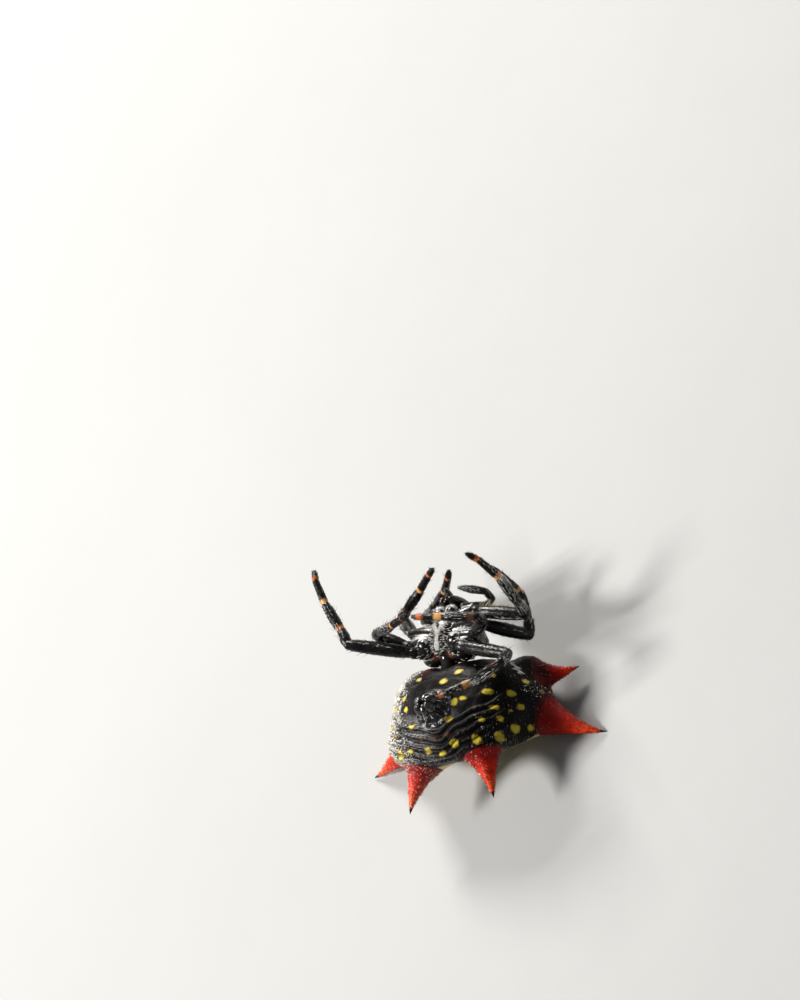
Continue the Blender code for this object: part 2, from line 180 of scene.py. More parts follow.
def new_mesh(name, points, groups, finish):
    """An object from points in millimetres and arrays of faces."""
    mesh = bpy.data.meshes.new(name)
    groups = [np.asarray(g, np.int32) for g in groups if len(g)]
    loops = np.concatenate([g.ravel() for g in groups])
    totals = np.concatenate([np.full(len(g), g.shape[1], np.int32) for g in groups])
    starts = np.concatenate([[0], np.cumsum(totals)[:-1]]).astype(np.int32)
    mesh.vertices.add(len(points))
    mesh.vertices.foreach_set("co", ((np.asarray(points) + HOME) * MM).ravel().astype(np.float32))
    mesh.loops.add(len(loops))
    mesh.loops.foreach_set("vertex_index", loops)
    mesh.polygons.add(len(totals))
    mesh.polygons.foreach_set("loop_start", starts)
    mesh.polygons.foreach_set("loop_total", totals)
    mesh.update(calc_edges=True)
    mesh.validate()
    mesh.shade_smooth()
    mesh.materials.append(finish)
    made = bpy.data.objects.new(name, mesh)
    bpy.context.scene.collection.objects.link(made)
    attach(made, "root")
    return made


def give(obj, name, values):
    """Stores one number, or one colour, at each vertex."""
    values = np.asarray(values, np.float32)
    if values.ndim == 1:
        layer = obj.data.attributes.new(name, "FLOAT", "POINT")
        layer.data.foreach_set("value", values)
        return
    layer = obj.data.attributes.new(name, "FLOAT_COLOR", "POINT")
    full = np.concatenate([values, np.ones((len(values), 1), np.float32)], 1)
    layer.data.foreach_set("color", full.ravel())


class Bundle:
    """Pieces of mesh gathered into one object."""

    def __init__(self):
        self.points, self.quads, self.tris, self.tints, self.maps, self.grains = [], [], [], [], [], []
        self.count = 0

    def add(self, points, quads=(), tris=(), tint=None, uv=None, grain=None):
        points = np.asarray(points, float)
        self.points.append(points)
        if len(quads):
            self.quads.append(np.asarray(quads) + self.count)
        if len(tris):
            self.tris.append(np.asarray(tris) + self.count)
        if tint is not None:
            self.tints.append(np.broadcast_to(np.asarray(tint, float), (len(points), 3)))
        if uv is not None:
            self.maps.append(uv)
        self.grains.append(points if grain is None else grain)
        self.count += len(points)

    def build(self, name, finish):
        groups = [np.concatenate(g) for g in (self.quads, self.tris) if g]
        made = new_mesh(name, np.concatenate(self.points), groups, finish)
        if self.tints:
            give(made, "tint", np.concatenate(self.tints))
        if not self.maps:
            give(made, "grain", np.concatenate(self.grains))
        if self.maps:
            at = np.concatenate(self.maps).astype(np.float32)
            index = np.empty(len(made.data.loops), np.int32)
            made.data.loops.foreach_get("vertex_index", index)
            made.data.uv_layers.new(name="OFBake").data.foreach_set("uv", at[index].ravel())
        return made


def frames_along(path):
    """Tangent and two cross axes at each point of a path, turned as little as possible."""
    path = np.asarray(path, float)
    along = unit(np.gradient(path, axis=0))
    first = np.cross(along[0], [0, 0, 1.0])
    if np.linalg.norm(first) < 0.1:
        first = np.cross(along[0], [0, 1.0, 0])
    across = [unit(first)]
    for t in along[1:]:
        across.append(unit(across[-1] - t * (across[-1] @ t)))
    across = np.array(across)
    return along, across, np.cross(along, across)


def loft(path, radii, sides):
    """Points, quads and end triangles of a round skin along a path."""
    path, radii = np.asarray(path, float), np.asarray(radii, float)
    along, across, over = frames_along(path)
    turns = np.arange(sides) * 2 * math.pi / sides
    ring = np.cos(turns)[None, :, None] * across[:, None] + np.sin(turns)[None, :, None] * over[:, None]
    points = (path[:, None] + radii[:, None, None] * ring).reshape(-1, 3)
    i, j = np.meshgrid(np.arange(len(path) - 1), np.arange(sides), indexing="ij")
    k = (j + 1) % sides
    quads = np.stack([i * sides + j, i * sides + k, (i + 1) * sides + k, (i + 1) * sides + j], -1)
    quads = quads.reshape(-1, 4)
    points = np.concatenate([points, path[:1], path[-1:]])
    last, end = len(points) - 2, (len(path) - 1) * sides
    j = np.arange(sides)
    k = (j + 1) % sides
    tris = np.concatenate([
        np.stack([k, j, np.full(sides, last)], -1),
        np.stack([end + j, end + k, np.full(sides, last + 1)], -1),
    ])
    return points, quads, tris


def round_ends(start, end, profile, steps):
    """A straight path with round ends, and its radii, from a profile over 0 to 1."""
    start, end = np.asarray(start, float), np.asarray(end, float)
    length = np.linalg.norm(end - start)
    t = (1 - np.cos(np.linspace(0, math.pi, steps))) / 2 * 0.4 + np.linspace(0, 1, steps) * 0.6
    radii = profile(t)
    turns = np.radians((84, 62, 38, 16))
    low = [(-radii[0] * math.sin(a) * 0.8 / length, radii[0] * math.cos(a)) for a in turns]
    high = [(1 + radii[-1] * math.sin(a) * 0.8 / length, radii[-1] * math.cos(a)) for a in turns[::-1]]
    t = np.concatenate([[a for a, _ in low], t, [a for a, _ in high]])
    radii = np.concatenate([[b for _, b in low], radii, [b for _, b in high]])
    return start + t[:, None] * (end - start), radii, t


def hairs(bundle, roots, ways, lengths, radius, bend, tints, spots, stations=(0.0, 0.5)):
    """Thin closed spikes: root points, directions, lengths, root radius, a bend at the tip, a colour
    and a place on the skin's unwrap for each."""
    roots, ways, bend = np.asarray(roots), unit(ways), np.asarray(bend)
    count, ring = len(roots), 3
    if not count:
        return
    lengths = np.broadcast_to(lengths, (count,))
    radius = np.broadcast_to(radius, (count,))
    side = np.cross(ways, np.where(np.abs(ways[:, 2:]) > 0.8, [[1.0, 0, 0]], [[0, 0, 1.0]]))
    side = unit(side)
    other = np.cross(ways, side)
    points, maps = [], []
    for t in stations:
        spine = roots + lengths[:, None] * (t * ways + t * t * bend)
        for k in range(ring):
            a = 2 * math.pi * k / ring
            reach = (radius * (1 - 0.75 * t))[:, None]
            points.append(spine + reach * (math.cos(a) * side + math.sin(a) * other))
            maps.append(spots + 0.0015 * np.array([math.cos(a), math.sin(a)]) * (1 - t))
    points.append(roots + lengths[:, None] * (ways + bend))
    maps.append(np.asarray(spots, float))
    each = len(points)
    points = np.stack(points, 1).reshape(-1, 3)
    maps = np.stack(maps, 1).reshape(-1, 2)
    quads, tris = [], [[2, 1, 0]]
    for s in range(len(stations) - 1):
        for k in range(ring):
            n = (k + 1) % ring
            quads.append([s * ring + k, s * ring + n, (s + 1) * ring + n, (s + 1) * ring + k])
    top = (len(stations) - 1) * ring
    tris += [[top + k, top + (k + 1) % ring, each - 1] for k in range(ring)]
    base = np.arange(count)[:, None, None] * each
    quads = (np.array(quads)[None] + base).reshape(-1, 4)
    tris = (np.array(tris)[None] + base).reshape(-1, 3)
    bundle.add(points, quads, tris, np.repeat(np.broadcast_to(tints, (count, 3)), each, 0), maps)


# Distance formulas
def smin(a, b, k):
    h = np.clip(0.5 + 0.5 * (b - a) / k, 0, 1)
    return b * (1 - h) + a * h - k * h * (1 - h)


def egg(p, centre, radii):
    q = p - np.asarray(centre)
    a = np.linalg.norm(q / radii, axis=1)
    b = np.linalg.norm(q / np.square(radii), axis=1)
    return a * (a - 1) / np.maximum(b, 1e-9)


def capsule(p, a, b, ra, rb, rm=None):
    """Distance to a rod whose radius runs from ra by rm in the middle to rb."""
    a, b = np.asarray(a, float), np.asarray(b, float)
    ab = b - a
    t = np.clip((p - a) @ ab / (ab @ ab), 0, 1)
    radius = ra + (rb - ra) * t
    if rm is not None:
        radius = radius + 4 * (rm - (ra + rb) / 2) * t * (1 - t)
    return np.linalg.norm(p - a - t[:, None] * ab, axis=1) - radius


def rim_height(y):
    back = 1.0 - y
    return RIM_Z + np.where(back > 0, REAR_RISE, FRONT_RISE) * back * back


def shield_field(p):
    x, y, z = np.abs(p[:, 0]), p[:, 1], p[:, 2]
    deep, half_width, half_height = STALK_HOLLOW
    hollow = deep * np.exp(-((x / half_width) ** 2) - ((z - STALK_Z) / half_height) ** 2)
    y = y + hollow * smooth(0.8, 1.6, y)
    rim = rim_height(y)
    belly = z > rim
    tall = np.where(belly, (z - rim) / (BELLY_Z - rim), (rim - z) / BACK_DEPTH)
    dy = y - CENTRE_Y - np.where(belly, BELLY_SHIFT, BACK_SHIFT) * np.clip(tall, 0, 1)
    plan = np.where(dy > 0, PLAN_POWERS[0], PLAN_POWERS[1])
    a = (x / HALF_WIDTH) ** plan
    b = (np.abs(dy) / np.where(dy > 0, *LENGTHS)) ** plan
    wide = (a + b + 1e-12) ** (1 / plan)
    ahead = np.sqrt(b / (a + b + 1e-12)) * np.sign(dy)
    front, rear = np.maximum(ahead, 0), np.maximum(-ahead, 0)
    profile = np.where(belly, 2.6 + 1.9 * front**3 - 0.3 * rear**2, BACK_POWER + 0.2 * front)
    value = (wide**profile + tall**profile) ** (1 / profile)
    reach = np.linalg.norm(p - [0, CENTRE_Y, 2.0], axis=1)
    return 0.8 * reach * (1 - 1 / np.maximum(value, 0.05))


def spine_axis(p, side, root, tip, bow):
    """Share of the way along a bowed spine, and the distance from its middle line."""
    flip = np.array([side, 1, 1])
    root, tip, bow = np.array(root) * flip, np.array(tip) * flip, np.array(bow) * flip
    ab = tip - root
    t = (p - root) @ ab / (ab @ ab)
    inside = np.clip(t, -0.3, 1.0)[:, None]
    middle = root + inside * ab + 4 * bow * np.clip(inside, 0, 1) * (1 - np.clip(inside, 0, 1))
    return t, np.linalg.norm(p - middle, axis=1)


def spine_field(p, side, root, tip, radius, bow):
    t, away = spine_axis(p, side, root, tip, bow)
    s = 1 - np.clip(t, -0.3, 1.0)
    return 0.95 * (away - radius * (0.68 * s + 0.32 * np.clip(s, 0, 1.1) ** 4) - 0.012)


def abdomen_field(p):
    d = shield_field(p)
    for root, tip, radius, bow in SPINES.values():
        for side in (1, -1):
            d = smin(d, spine_field(p, side, root, tip, radius, bow), 0.34)
    foot = np.array([MOUND[0], MOUND[1], 3.4])
    d = smin(d, capsule(p, foot, (MOUND[0], MOUND[1], MOUND_TOP - 0.56), 0.88, 0.58), 0.25)
    return np.maximum(d, -p[:, 2])


def carapace_field(p):
    y = np.clip(p[:, 1], CARAPACE[0, 0], CARAPACE[-1, 0])
    half, back, belly = (np.interp(y, CARAPACE[:, 0], CARAPACE[:, i]) for i in (1, 2, 3))
    middle, tall = (back + belly) / 2, (belly - back) / 2
    value = ((np.abs(p[:, 0]) / half) ** 2.35 + (np.abs(p[:, 2] - middle) / tall) ** 2.35) ** (1 / 2.35)
    d = (value - 1) * np.minimum(half, tall) * 0.9
    past = np.abs(p[:, 1] - y)
    return np.where(past > 0, np.hypot(np.maximum(d, 0), past), d)


def coxa_root(number, side):
    y = COXA_ENDS[number][1]
    return np.array([side * 0.42, 3.95 + 0.6 * (y - 3.95), 3.78])


def prosoma_field(p):
    d = smin(carapace_field(p), egg(p, (0, 3.95, 4.06), (0.58, 0.80, 0.27)), 0.05)
    for side in (1, -1):
        for number, (x, y, z) in COXA_ENDS.items():
            root, end = coxa_root(number, side), np.array([side * x, y, z])
            d = smin(d, capsule(p, root, end, 0.31, 0.27, 0.35), 0.035)
        d = smin(d, egg(p, (side * 0.80, 3.62, 4.07), (0.33, 0.30, 0.31)), 0.05)
        d = smin(d, egg(p, (side * 0.33, 4.98, 3.90), (0.25, 0.32, 0.26)), 0.04)
        d = smin(d, egg(p, (side * 0.36, 3.9, 2.1), (0.75, 0.7, 0.35)), 0.3)
        d = smin(d, egg(p, (side * 0.72, 3.28, 3.44), (0.58, 0.40, 0.46)), 0.1)
        for x, y, z, radius in EYES:
            d = smin(d, egg(p, (side * x, y - 0.03, z + 0.02), (radius * 1.25,) * 3), 0.10)
    d = smin(d, egg(p, (0, 4.78, 4.06), (0.2, 0.2, 0.16)), 0.03)
    d = smin(d, capsule(p, (0, 3.12, 3.48), (0, 3.5, 3.5), 0.27, 0.4), 0.1)
    return d


def slope(field, p, step=0.004):
    g = np.empty_like(p)
    for i in range(3):
        shift = np.zeros(3)
        shift[i] = step
        g[:, i] = (field(p + shift) - field(p - shift)) / (2 * step)
    return g


def grown_skin(node, field, voxel, swell):
    """Points and quads of an even skin: the solid swelled, remeshed and pulled onto the formula."""
    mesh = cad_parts[node].data.copy()
    solid = bmesh.new()
    solid.from_mesh(mesh)
    bmesh.ops.scale(solid, vec=(1 / MM,) * 3, verts=solid.verts)
    bmesh.ops.remove_doubles(solid, verts=solid.verts, dist=1e-4)
    bmesh.ops.recalc_face_normals(solid, faces=solid.faces)
    solid.normal_update()
    for v in solid.verts:
        v.co += swell * v.normal
    solid.to_mesh(mesh)
    solid.free()
    blank = bpy.data.objects.new("blank", mesh)
    bpy.context.scene.collection.objects.link(blank)
    remesh = blank.modifiers.new("Even", "REMESH")
    remesh.mode = "VOXEL"
    remesh.voxel_size = voxel * FINE
    shown = blank.evaluated_get(bpy.context.evaluated_depsgraph_get()).to_mesh()
    points = np.empty(len(shown.vertices) * 3, np.float32)
    shown.vertices.foreach_get("co", points)
    points = points.reshape(-1, 3).astype(float) - HOME
    quads = np.empty(len(shown.loops), np.int32)
    shown.loops.foreach_get("vertex_index", quads)
    quads = quads.reshape(-1, 4)
    bpy.data.objects.remove(blank)
    edges = np.concatenate([quads[:, [i, (i + 1) % 4]] for i in range(4)])
    edges = np.unique(np.sort(edges, 1), axis=0)
    degree = np.bincount(edges.ravel(), minlength=len(points))[:, None]

    def relax(points, share):
        total = np.zeros_like(points)
        for i in range(3):
            total[:, i] = np.bincount(edges[:, 0], points[edges[:, 1], i], len(points))
            total[:, i] += np.bincount(edges[:, 1], points[edges[:, 0], i], len(points))
        return points + share * (total / degree - points)

    def pull(points, rounds):
        for _ in range(rounds):
            g = slope(field, points)
            step = field(points)[:, None] * g / np.maximum((g * g).sum(1, keepdims=True), 0.05)
            size = np.linalg.norm(step, axis=1, keepdims=True)
            points = points - step * np.minimum(1, 0.15 / np.maximum(size, 1e-9))
        return points

    points = pull(points, 3)
    for _ in range(3):
        points = pull(relax(points, 0.5), 1)
    points = pull(points, 2)
    return points, quads, unit(slope(field, points))


# Materials
def socket(tree, value, target):
    if isinstance(value, bpy.types.NodeSocket):
        tree.links.new(value, target)
    else:
        target.default_value = value


def add(tree, kind, inputs=(), **settings):
    node = tree.nodes.new("ShaderNode" + kind)
    for key, value in settings.items():
        setattr(node, key, value)
    for key, value in dict(inputs).items():
        socket(tree, value, node.inputs[key])
    return node


def finish_of(name, roughness=0.4, **inputs):
    made = bpy.data.materials.new(name)
    made.use_nodes = True
    tree = made.node_tree
    shader = tree.nodes["Principled BSDF"]
    shader.inputs["Roughness"].default_value = roughness
    for key, value in inputs.items():
        shader.inputs[key.replace("_", " ")].default_value = value
    return made, tree, shader


def attribute(tree, name, output="Fac"):
    return add(tree, "Attribute", attribute_name=name).outputs[output]


def noise(tree, scale, detail=3.0, roughness=0.55):
    """Noise with its scale counted over one millimetre."""
    where = add(tree, "TexCoord").outputs["Object"]
    inputs = {"Vector": where, "Scale": scale / MM, "Detail": detail, "Roughness": roughness}
    return add(tree, "TexNoise", inputs).outputs["Fac"]


def math_node(tree, kind, *values):
    return add(tree, "Math", dict(enumerate(values)), operation=kind).outputs[0]


def mix(tree, share, a, b):
    node = add(tree, "Mix", data_type="RGBA")
    socket(tree, share, node.inputs["Factor"])
    for key, value in (("A", a), ("B", b)):
        target = [s for s in node.inputs if s.name == key and s.type == "RGBA"][0]
        socket(tree, (*value, 1) if isinstance(value, tuple) else value, target)
    return [s for s in node.outputs if s.type == "RGBA"][0]


def paint(tree, base, share, most, colour):
    """The colour laid over the base where the share is, and at most so thickly."""
    return mix(tree, math_node(tree, "MULTIPLY", share, most), base, colour)


def ramp(tree, value, low, high):
    inputs = {"Value": value, "From Min": low, "From Max": high}
    return add(tree, "MapRange", inputs, interpolation_type="SMOOTHSTEP").outputs[0]


def spread(tree, value, low, high):
    """A share from 0 to 1 spread over a range."""
    return add(tree, "MapRange", {"Value": value, "To Min": low, "To Max": high}).outputs[0]


def bump(tree, height, strength, distance, normal=None):
    node = add(tree, "Bump", {"Height": height, "Strength": strength, "Distance": distance * MM})
    if normal is not None:
        tree.links.new(normal, node.inputs["Normal"])
    return node.outputs["Normal"]


def cuticle(name, roughness=0.3, streaks=0.0, gloss=0.45):
    """Black shell with brown clouds, a fine leathery grain and the colours of its tint. Streaks are the
    close-lying down of a limb, which runs along it."""
    made, tree, shader = finish_of(name, roughness, Specular_IOR_Level=gloss)
    cloud = ramp(tree, noise(tree, 2.2), 0.45, 0.75)
    base = paint(tree, attribute(tree, "tint", "Color"), cloud, 0.3, (0.008, 0.006, 0.005))
    normal = bump(tree, noise(tree, 22.0, 2.0), 0.5, 0.012)
    if streaks:
        where = attribute(tree, "grain", "Vector")
        lines = add(tree, "TexNoise", {"Vector": where, "Scale": 26.0, "Detail": 2.0}).outputs["Fac"]
        base = paint(tree, base, ramp(tree, lines, 0.46, 0.34), 0.8, BLACK)
        base = paint(tree, base, ramp(tree, lines, 0.58, 0.74), streaks, DOWN)
        normal = bump(tree, lines, 0.6, 0.022, normal)
    tree.links.new(base, shader.inputs["Base Color"])
    rough = spread(tree, noise(tree, 6.0), roughness - 0.08, roughness + 0.12)
    tree.links.new(rough, shader.inputs["Roughness"])
    tree.links.new(normal, shader.inputs["Normal"])
    return made


def hair_finish(name, roughness=0.42, gloss=0.5):
    """The tint of each hair, a little darker and rougher in patches."""
    made, tree, shader = finish_of(name, roughness, Specular_IOR_Level=gloss)
    patchy = noise(tree, 9.0)
    colour = attribute(tree, "tint", "Color")
    colour = paint(tree, colour, ramp(tree, patchy, 0.40, 0.70), 0.35, (0.010, 0.008, 0.007))
    tree.links.new(colour, shader.inputs["Base Color"])
    rough = spread(tree, patchy, roughness - 0.06, roughness + 0.10)
    tree.links.new(rough, shader.inputs["Roughness"])
    tree.links.new(bump(tree, noise(tree, 40.0, 1.0), 0.3, 0.004), shader.inputs["Normal"])
    return made


def abdomen_finish():
    """Black skin with wine-red and brown parts, chalky white painted glare on the sunlit flank, yellow spots,
    red spines and a cream back. Each follows a value that make_abdomen_skin gives to the mesh."""
    made, tree, shader = finish_of("abdomen_skin", 0.35)
    red, along, spot, gold, brown, pale, pit = (
        attribute(tree, name) for name in ("red", "along", "spot", "gold", "brown", "pale", "pit")
    )
    groove, wine, speck_and_glint, vein, sun, painted_glare, wet = (
        attribute(tree, name) for name in ("groove", "wine", "speck_and_glint", "vein", "sun", "painted_glare", "wet")
    )
    fine, coarse = noise(tree, 7.0), noise(tree, 2.2)

    def wander(value, by, amount):
        return math_node(tree, "MULTIPLY_ADD", math_node(tree, "SUBTRACT", by, 0.5), amount, value)

    def wavy(value, by, amount, low, high):
        return ramp(tree, wander(value, by, amount), low, high)

    # The dark skin, with what lies in it
    body = mix(tree, ramp(tree, coarse, 0.4, 0.7), (0.0014, 0.0013, 0.0013), (0.0044, 0.0032, 0.0024))
    wine_red = mix(tree, fine, (0.022, 0.0015, 0.0015), (0.070, 0.004, 0.003))
    body = mix(tree, wavy(wine, coarse, 0.5, 0.3, 0.7), body, wine_red)
    body = paint(tree, body, wavy(brown, fine, 0.14, 0.04, -0.06), 0.4, (0.11, 0.045, 0.016))
    body = paint(tree, body, wavy(vein, fine, 0.10, 0.05, -0.03), 0.7, (0.30, 0.16, 0.025))
    # Painted glare: chalky white on the sunlit right flank, standing in for the sun's sheen on its grains
    chalk_and_glare = wavy(painted_glare, noise(tree, 5.5), 3.2, 0.62, 0.98)
    body = paint(tree, body, chalk_and_glare, 0.85, (0.72, 0.68, 0.60))

    # Yellow spots: paler ahead, darker away from the sun and browner at the edge
    edge = wander(wander(spot, fine, 0.20), coarse, 0.10)
    yellow = mix(tree, gold, (0.60, 0.58, 0.22), (0.46, 0.36, 0.016))
    yellow = mix(tree, ramp(tree, noise(tree, 14.0), 0.42, 0.66), yellow, (0.54, 0.47, 0.07))
    yellow = mix(tree, sun, mix(tree, 0.55, yellow, (0.22, 0.20, 0.012)), yellow)
    yellow = mix(tree, ramp(tree, edge, -0.09, 0.0), yellow, (0.20, 0.12, 0.010))
    body = mix(tree, ramp(tree, edge, 0.025, -0.025), body, yellow)

    # The cream back with its dark pits
    cream = mix(tree, ramp(tree, coarse, 0.35, 0.7), (0.66, 0.50, 0.16), (0.74, 0.66, 0.42))
    cream = mix(tree, wavy(pit, fine, 0.06, 0.02, -0.02), cream, (0.01, 0.008, 0.008))
    body = mix(tree, wavy(pale, fine, 0.7, 0.35, 0.65), body, cream)

    # The spines, from dark red at the root to orange and a black tip
    spine = mix(tree, ramp(tree, along, -0.05, 0.28), (0.026, 0.001, 0.001), (0.26, 0.004, 0.002))
    spine = mix(tree, ramp(tree, along, 0.24, 0.60), spine, (0.60, 0.024, 0.004))
    spine = mix(tree, ramp(tree, along, 0.5, 0.85), spine, (0.72, 0.070, 0.010))
    # Dark crimson patches on the spines, thinned on the sunlit side as painted light
    shade = math_node(tree, "MULTIPLY_ADD", sun, -0.45, 0.65)
    spine = paint(tree, spine, ramp(tree, coarse, 0.45, 0.7), shade, (0.17, 0.003, 0.002))
    body = mix(tree, wavy(red, coarse, 0.35, 0.3, 0.6), body, spine)
    body = mix(tree, wavy(along, fine, 0.04, 0.87, 0.93), body, (0.006, 0.004, 0.004))

    # Grains on the spines and the flank. The spines' tubercles carry painted glints, and the pale flank grains
    # are partly real and partly painted glare, thick on the sunlit right flank.
    where = add(tree, "TexCoord").outputs["Object"]
    cells = add(tree, "TexVoronoi", {"Vector": where, "Scale": 8.0 / MM, "Randomness": 0.8})
    beads = add(tree, "TexVoronoi", {"Vector": where, "Scale": 12.0 / MM, "Randomness": 1.0})
    cells, beads = cells.outputs["Distance"], beads.outputs["Distance"]
    # Painted glints on the spines' tubercles: pale pink on the sunlit side, dark red away from it
    glint = math_node(tree, "MULTIPLY", ramp(tree, cells, 0.22, 0.12), red)
    body = paint(tree, body, glint, 0.3, mix(tree, sun, (0.40, 0.020, 0.010), (0.90, 0.42, 0.32)))
    closer = math_node(tree, "MULTIPLY_ADD", speck_and_glint, -0.16, beads)
    grains = math_node(tree, "MULTIPLY", ramp(tree, closer, 0.22, 0.10), speck_and_glint)
    body = paint(tree, body, grains, 0.85, (0.74, 0.70, 0.60))
    # Painted shade: the fold troughs and the furrow darkened to near black
    body = paint(tree, body, groove, 0.8, (0.002, 0.002, 0.002))
    tree.links.new(body, shader.inputs["Base Color"])

    tubercles = math_node(tree, "MULTIPLY", ramp(tree, cells, 0.5, 0.0), red)
    granules = math_node(tree, "MULTIPLY", ramp(tree, beads, 0.5, 0.05), speck_and_glint)
    normal = bump(tree, tubercles, 0.7, 0.05)
    normal = bump(tree, granules, 0.7, 0.035, normal)
    normal = bump(tree, noise(tree, 9.0, 4.0, 0.65), 0.7, 0.045, normal)
    normal = bump(tree, noise(tree, 26.0, 2.0), 0.5, 0.014, normal)
    tree.links.new(normal, shader.inputs["Normal"])
    rough = math_node(tree, "MULTIPLY_ADD", wet, -0.12, spread(tree, noise(tree, 5.0), 0.24, 0.40))
    tree.links.new(rough, shader.inputs["Roughness"])
    gloss = math_node(tree, "MULTIPLY_ADD", wet, 0.6, 0.07)
    tree.links.new(gloss, shader.inputs["Specular IOR Level"])
    return made


# The abdomen
# For each kind of spine: where along it the red starts, how wide the red reaches round its root and how
# much darker it is there
SPINE_LOOKS = {
    "front_side": ((-0.55, -0.15), 1.35, 0.2), "rear_side": ((-0.10, 0.14), 0.74, 0),
    "rear": ((-0.10, 0.26), 0.74, 0),
}
# Where the white strokes on the front shoulder start, counted across and up in the picture
WHITE_STROKES = ((0.82, 3.93), (0.98, 3.74), (1.16, 3.58))
# Dull yellow veins near the spines' roots, on both sides
VEINS = (
    ((2.15, -0.65, 1.80), (2.70, -0.42, 1.58), (3.25, -0.20, 1.40)),
    ((3.38, 1.92, 1.75), (3.52, 1.66, 1.45), (3.62, 1.72, 1.15), (3.75, 1.45, 0.95)),
    ((2.55, -1.05, 2.35), (2.35, -1.25, 2.0), (2.6, -1.15, 1.75)),
    ((0.45, -1.62, 2.75), (0.55, -1.72, 2.35), (0.75, -1.7, 2.0)),
)
# Dark pits of the back, on both sides: x, y and radius
SIGILLA = (
    (0.55, 3.05, 0.11), (1.35, 3.08, 0.13), (2.15, 2.95, 0.14), (2.85, 2.60, 0.14), (3.25, 1.95, 0.12),
    (0.75, 1.95, 0.15), (0.95, 0.75, 0.13), (0.45, -0.85, 0.10), (1.15, -0.80, 0.12), (2.05, -0.55, 0.13),
    (2.80, 0.00, 0.13), (3.20, 0.75, 0.11),
)
# The middle of the abdomen's unwrap, and the height above which its sides bear setae and granules
MAP_CENTRE = np.array([0, CENTRE_Y, 2.0])
COAT_FROM = 0.09


def spot_field(p, spots):
    """How far each point lies outside the nearest of some oval spots."""
    best = np.full(len(p), 9.0)
    for x, y, z, rx, ry in spots:
        radii = 0.88 * np.array([rx, ry, max(rx, ry) * 1.3])
        q = np.linalg.norm((p - [x, y, z]) / radii, axis=1)
        best = np.minimum(best, (q - 1) * (rx + ry) / 2)
    return best


def fold_place(p):
    """Runs over the belly from front to rear: it grows by one at each groove, bent round the mound."""
    x, y, z = p[:, 0], p[:, 1], p[:, 2]
    wave = 0.07 * np.sin(2.3 * x + 0.7) + 0.05 * np.sin(4.7 * x + 2 * y + 1)
    w = y - 0.37 * (np.sqrt(x * x + 0.12) - 0.35) - 0.75 * np.maximum(3.75 - z, 0) + wave
    marks = np.array(GROOVES)[::-1]
    return np.interp(w, marks, np.arange(len(marks))[::-1]), w


def segment_gap(p, *corners):
    """Distance from a line drawn through some corners."""
    best = np.full(len(p), 9.0)
    for a, b in zip(corners, corners[1:]):
        best = np.minimum(best, capsule(p, a, b, 0, 0))
    return best


def sphere_map(points, centre):
    """The place of each point on a round unwrap of a skin about its centre."""
    q = unit(points - centre)
    turn, rise = np.arctan2(q[:, 1], q[:, 0]) / (2 * math.pi) + 0.5, np.arcsin(q[:, 2]) / math.pi + 0.5
    return np.stack([turn, rise], 1) * 0.98 + 0.01


def spine_marks(points):
    """At each point: how red it is, the wine-red ring round a spine's root, the share of the way along
    the spine, and the direction in which its setae lie."""
    count = len(points)
    red, halo, along = np.zeros(count), np.zeros(count), np.full(count, -1.0)
    lie = np.tile([0.0, -1.0, 0.0], (count, 1))
    for kind, (root, tip, radius, bow) in SPINES.items():
        start, wide, darker = SPINE_LOOKS[kind]
        for side in (1, -1):
            t, away = spine_axis(points, side, root, tip, bow)
            widths = [wide - 0.29, wide, max(wide, 0.92), 1.6]
            share = away / (radius * np.interp(t, [-0.2, 0, 0.2, 0.45], widths))
            mine = smooth(*start, t) * smooth(1.15, 0.9, share)
            red = np.maximum(red, mine)
            halo = np.maximum(halo, smooth(-0.34, 0.05, t) * smooth(1.5, 0.95, share))
            along = np.where((mine > 0.02) & (t > along), t - darker * smooth(0.8, 0.4, t), along)
            way = unit((np.array(tip) - np.array(root)) * [side, 1, 1])
            lie = np.where((mine > 0.3)[:, None], way, lie)
    return red, halo, along, lie


class AbdomenAreas:
    """The parts of the abdomen's skin as values at each point, most of them shares from 0 to 1."""

    def __init__(self, points):
        x, y, z = points.T
        self.x, self.y, self.z = x, y, z
        self.red, self.halo, self.along, self.lie = spine_marks(points)
        self.plain = 1 - self.red
        self.rim = rim_height(y)
        self.belly = smooth(self.rim - 0.1, self.rim + 0.35, z)
        self.from_mound = np.hypot(x - MOUND[0], y - MOUND[1])
        self.on_mound = smooth(3.55, 3.85, z)
        self.place, behind = fold_place(points)
        self.phase = self.place - np.floor(self.place)
        self.folds = self.belly * smooth(0.25, -0.2, behind) * smooth(3.3, 2.3, np.abs(x))
        self.folds *= 1 - smooth(0.05, 0.4, self.red)
        self.folds *= smooth(0.80, 1.0, self.from_mound) * smooth(-2.7, -2.2, behind)
        self.lung = hump(np.hypot((np.abs(x) - 0.87) / 0.42, (y - 2.62) / 0.30), 1.2**-0.5) * self.belly
        self.furrow = hump(y - 1.95 - 0.12 * np.cos(x * 1.8), 0.045) * smooth(1.7, 1.2, np.abs(x))
        self.furrow *= self.belly
        self.pit = np.min([np.hypot(np.abs(x) - a, y - b) - c for a, b, c in SIGILLA], axis=0)
        self.back = smooth(self.rim - 0.10, self.rim - 0.28, z) * (1 - smooth(0.0, 0.3, self.red))
        both = [(s * a, *rest) for s in (1, -1) for a, *rest in SPOTS_BOTH]
        self.spot = spot_field(points, [*both, *SPOTS_LEFT, *SPOTS_RIGHT]) + 0.5 * (self.belly < 0.3)
        self.flank = smooth(2.2, 3.2, np.abs(x) + 0.5 * (x < 0)) * self.belly
        self.rear = smooth(-0.9, -1.6, y - 0.25 * np.abs(x)) * self.belly
        self.notch = hump(np.hypot(np.abs(x) - 3.75, y - 1.6), 0.33)
        self.shown = smooth(3.25, 2.55, -x)


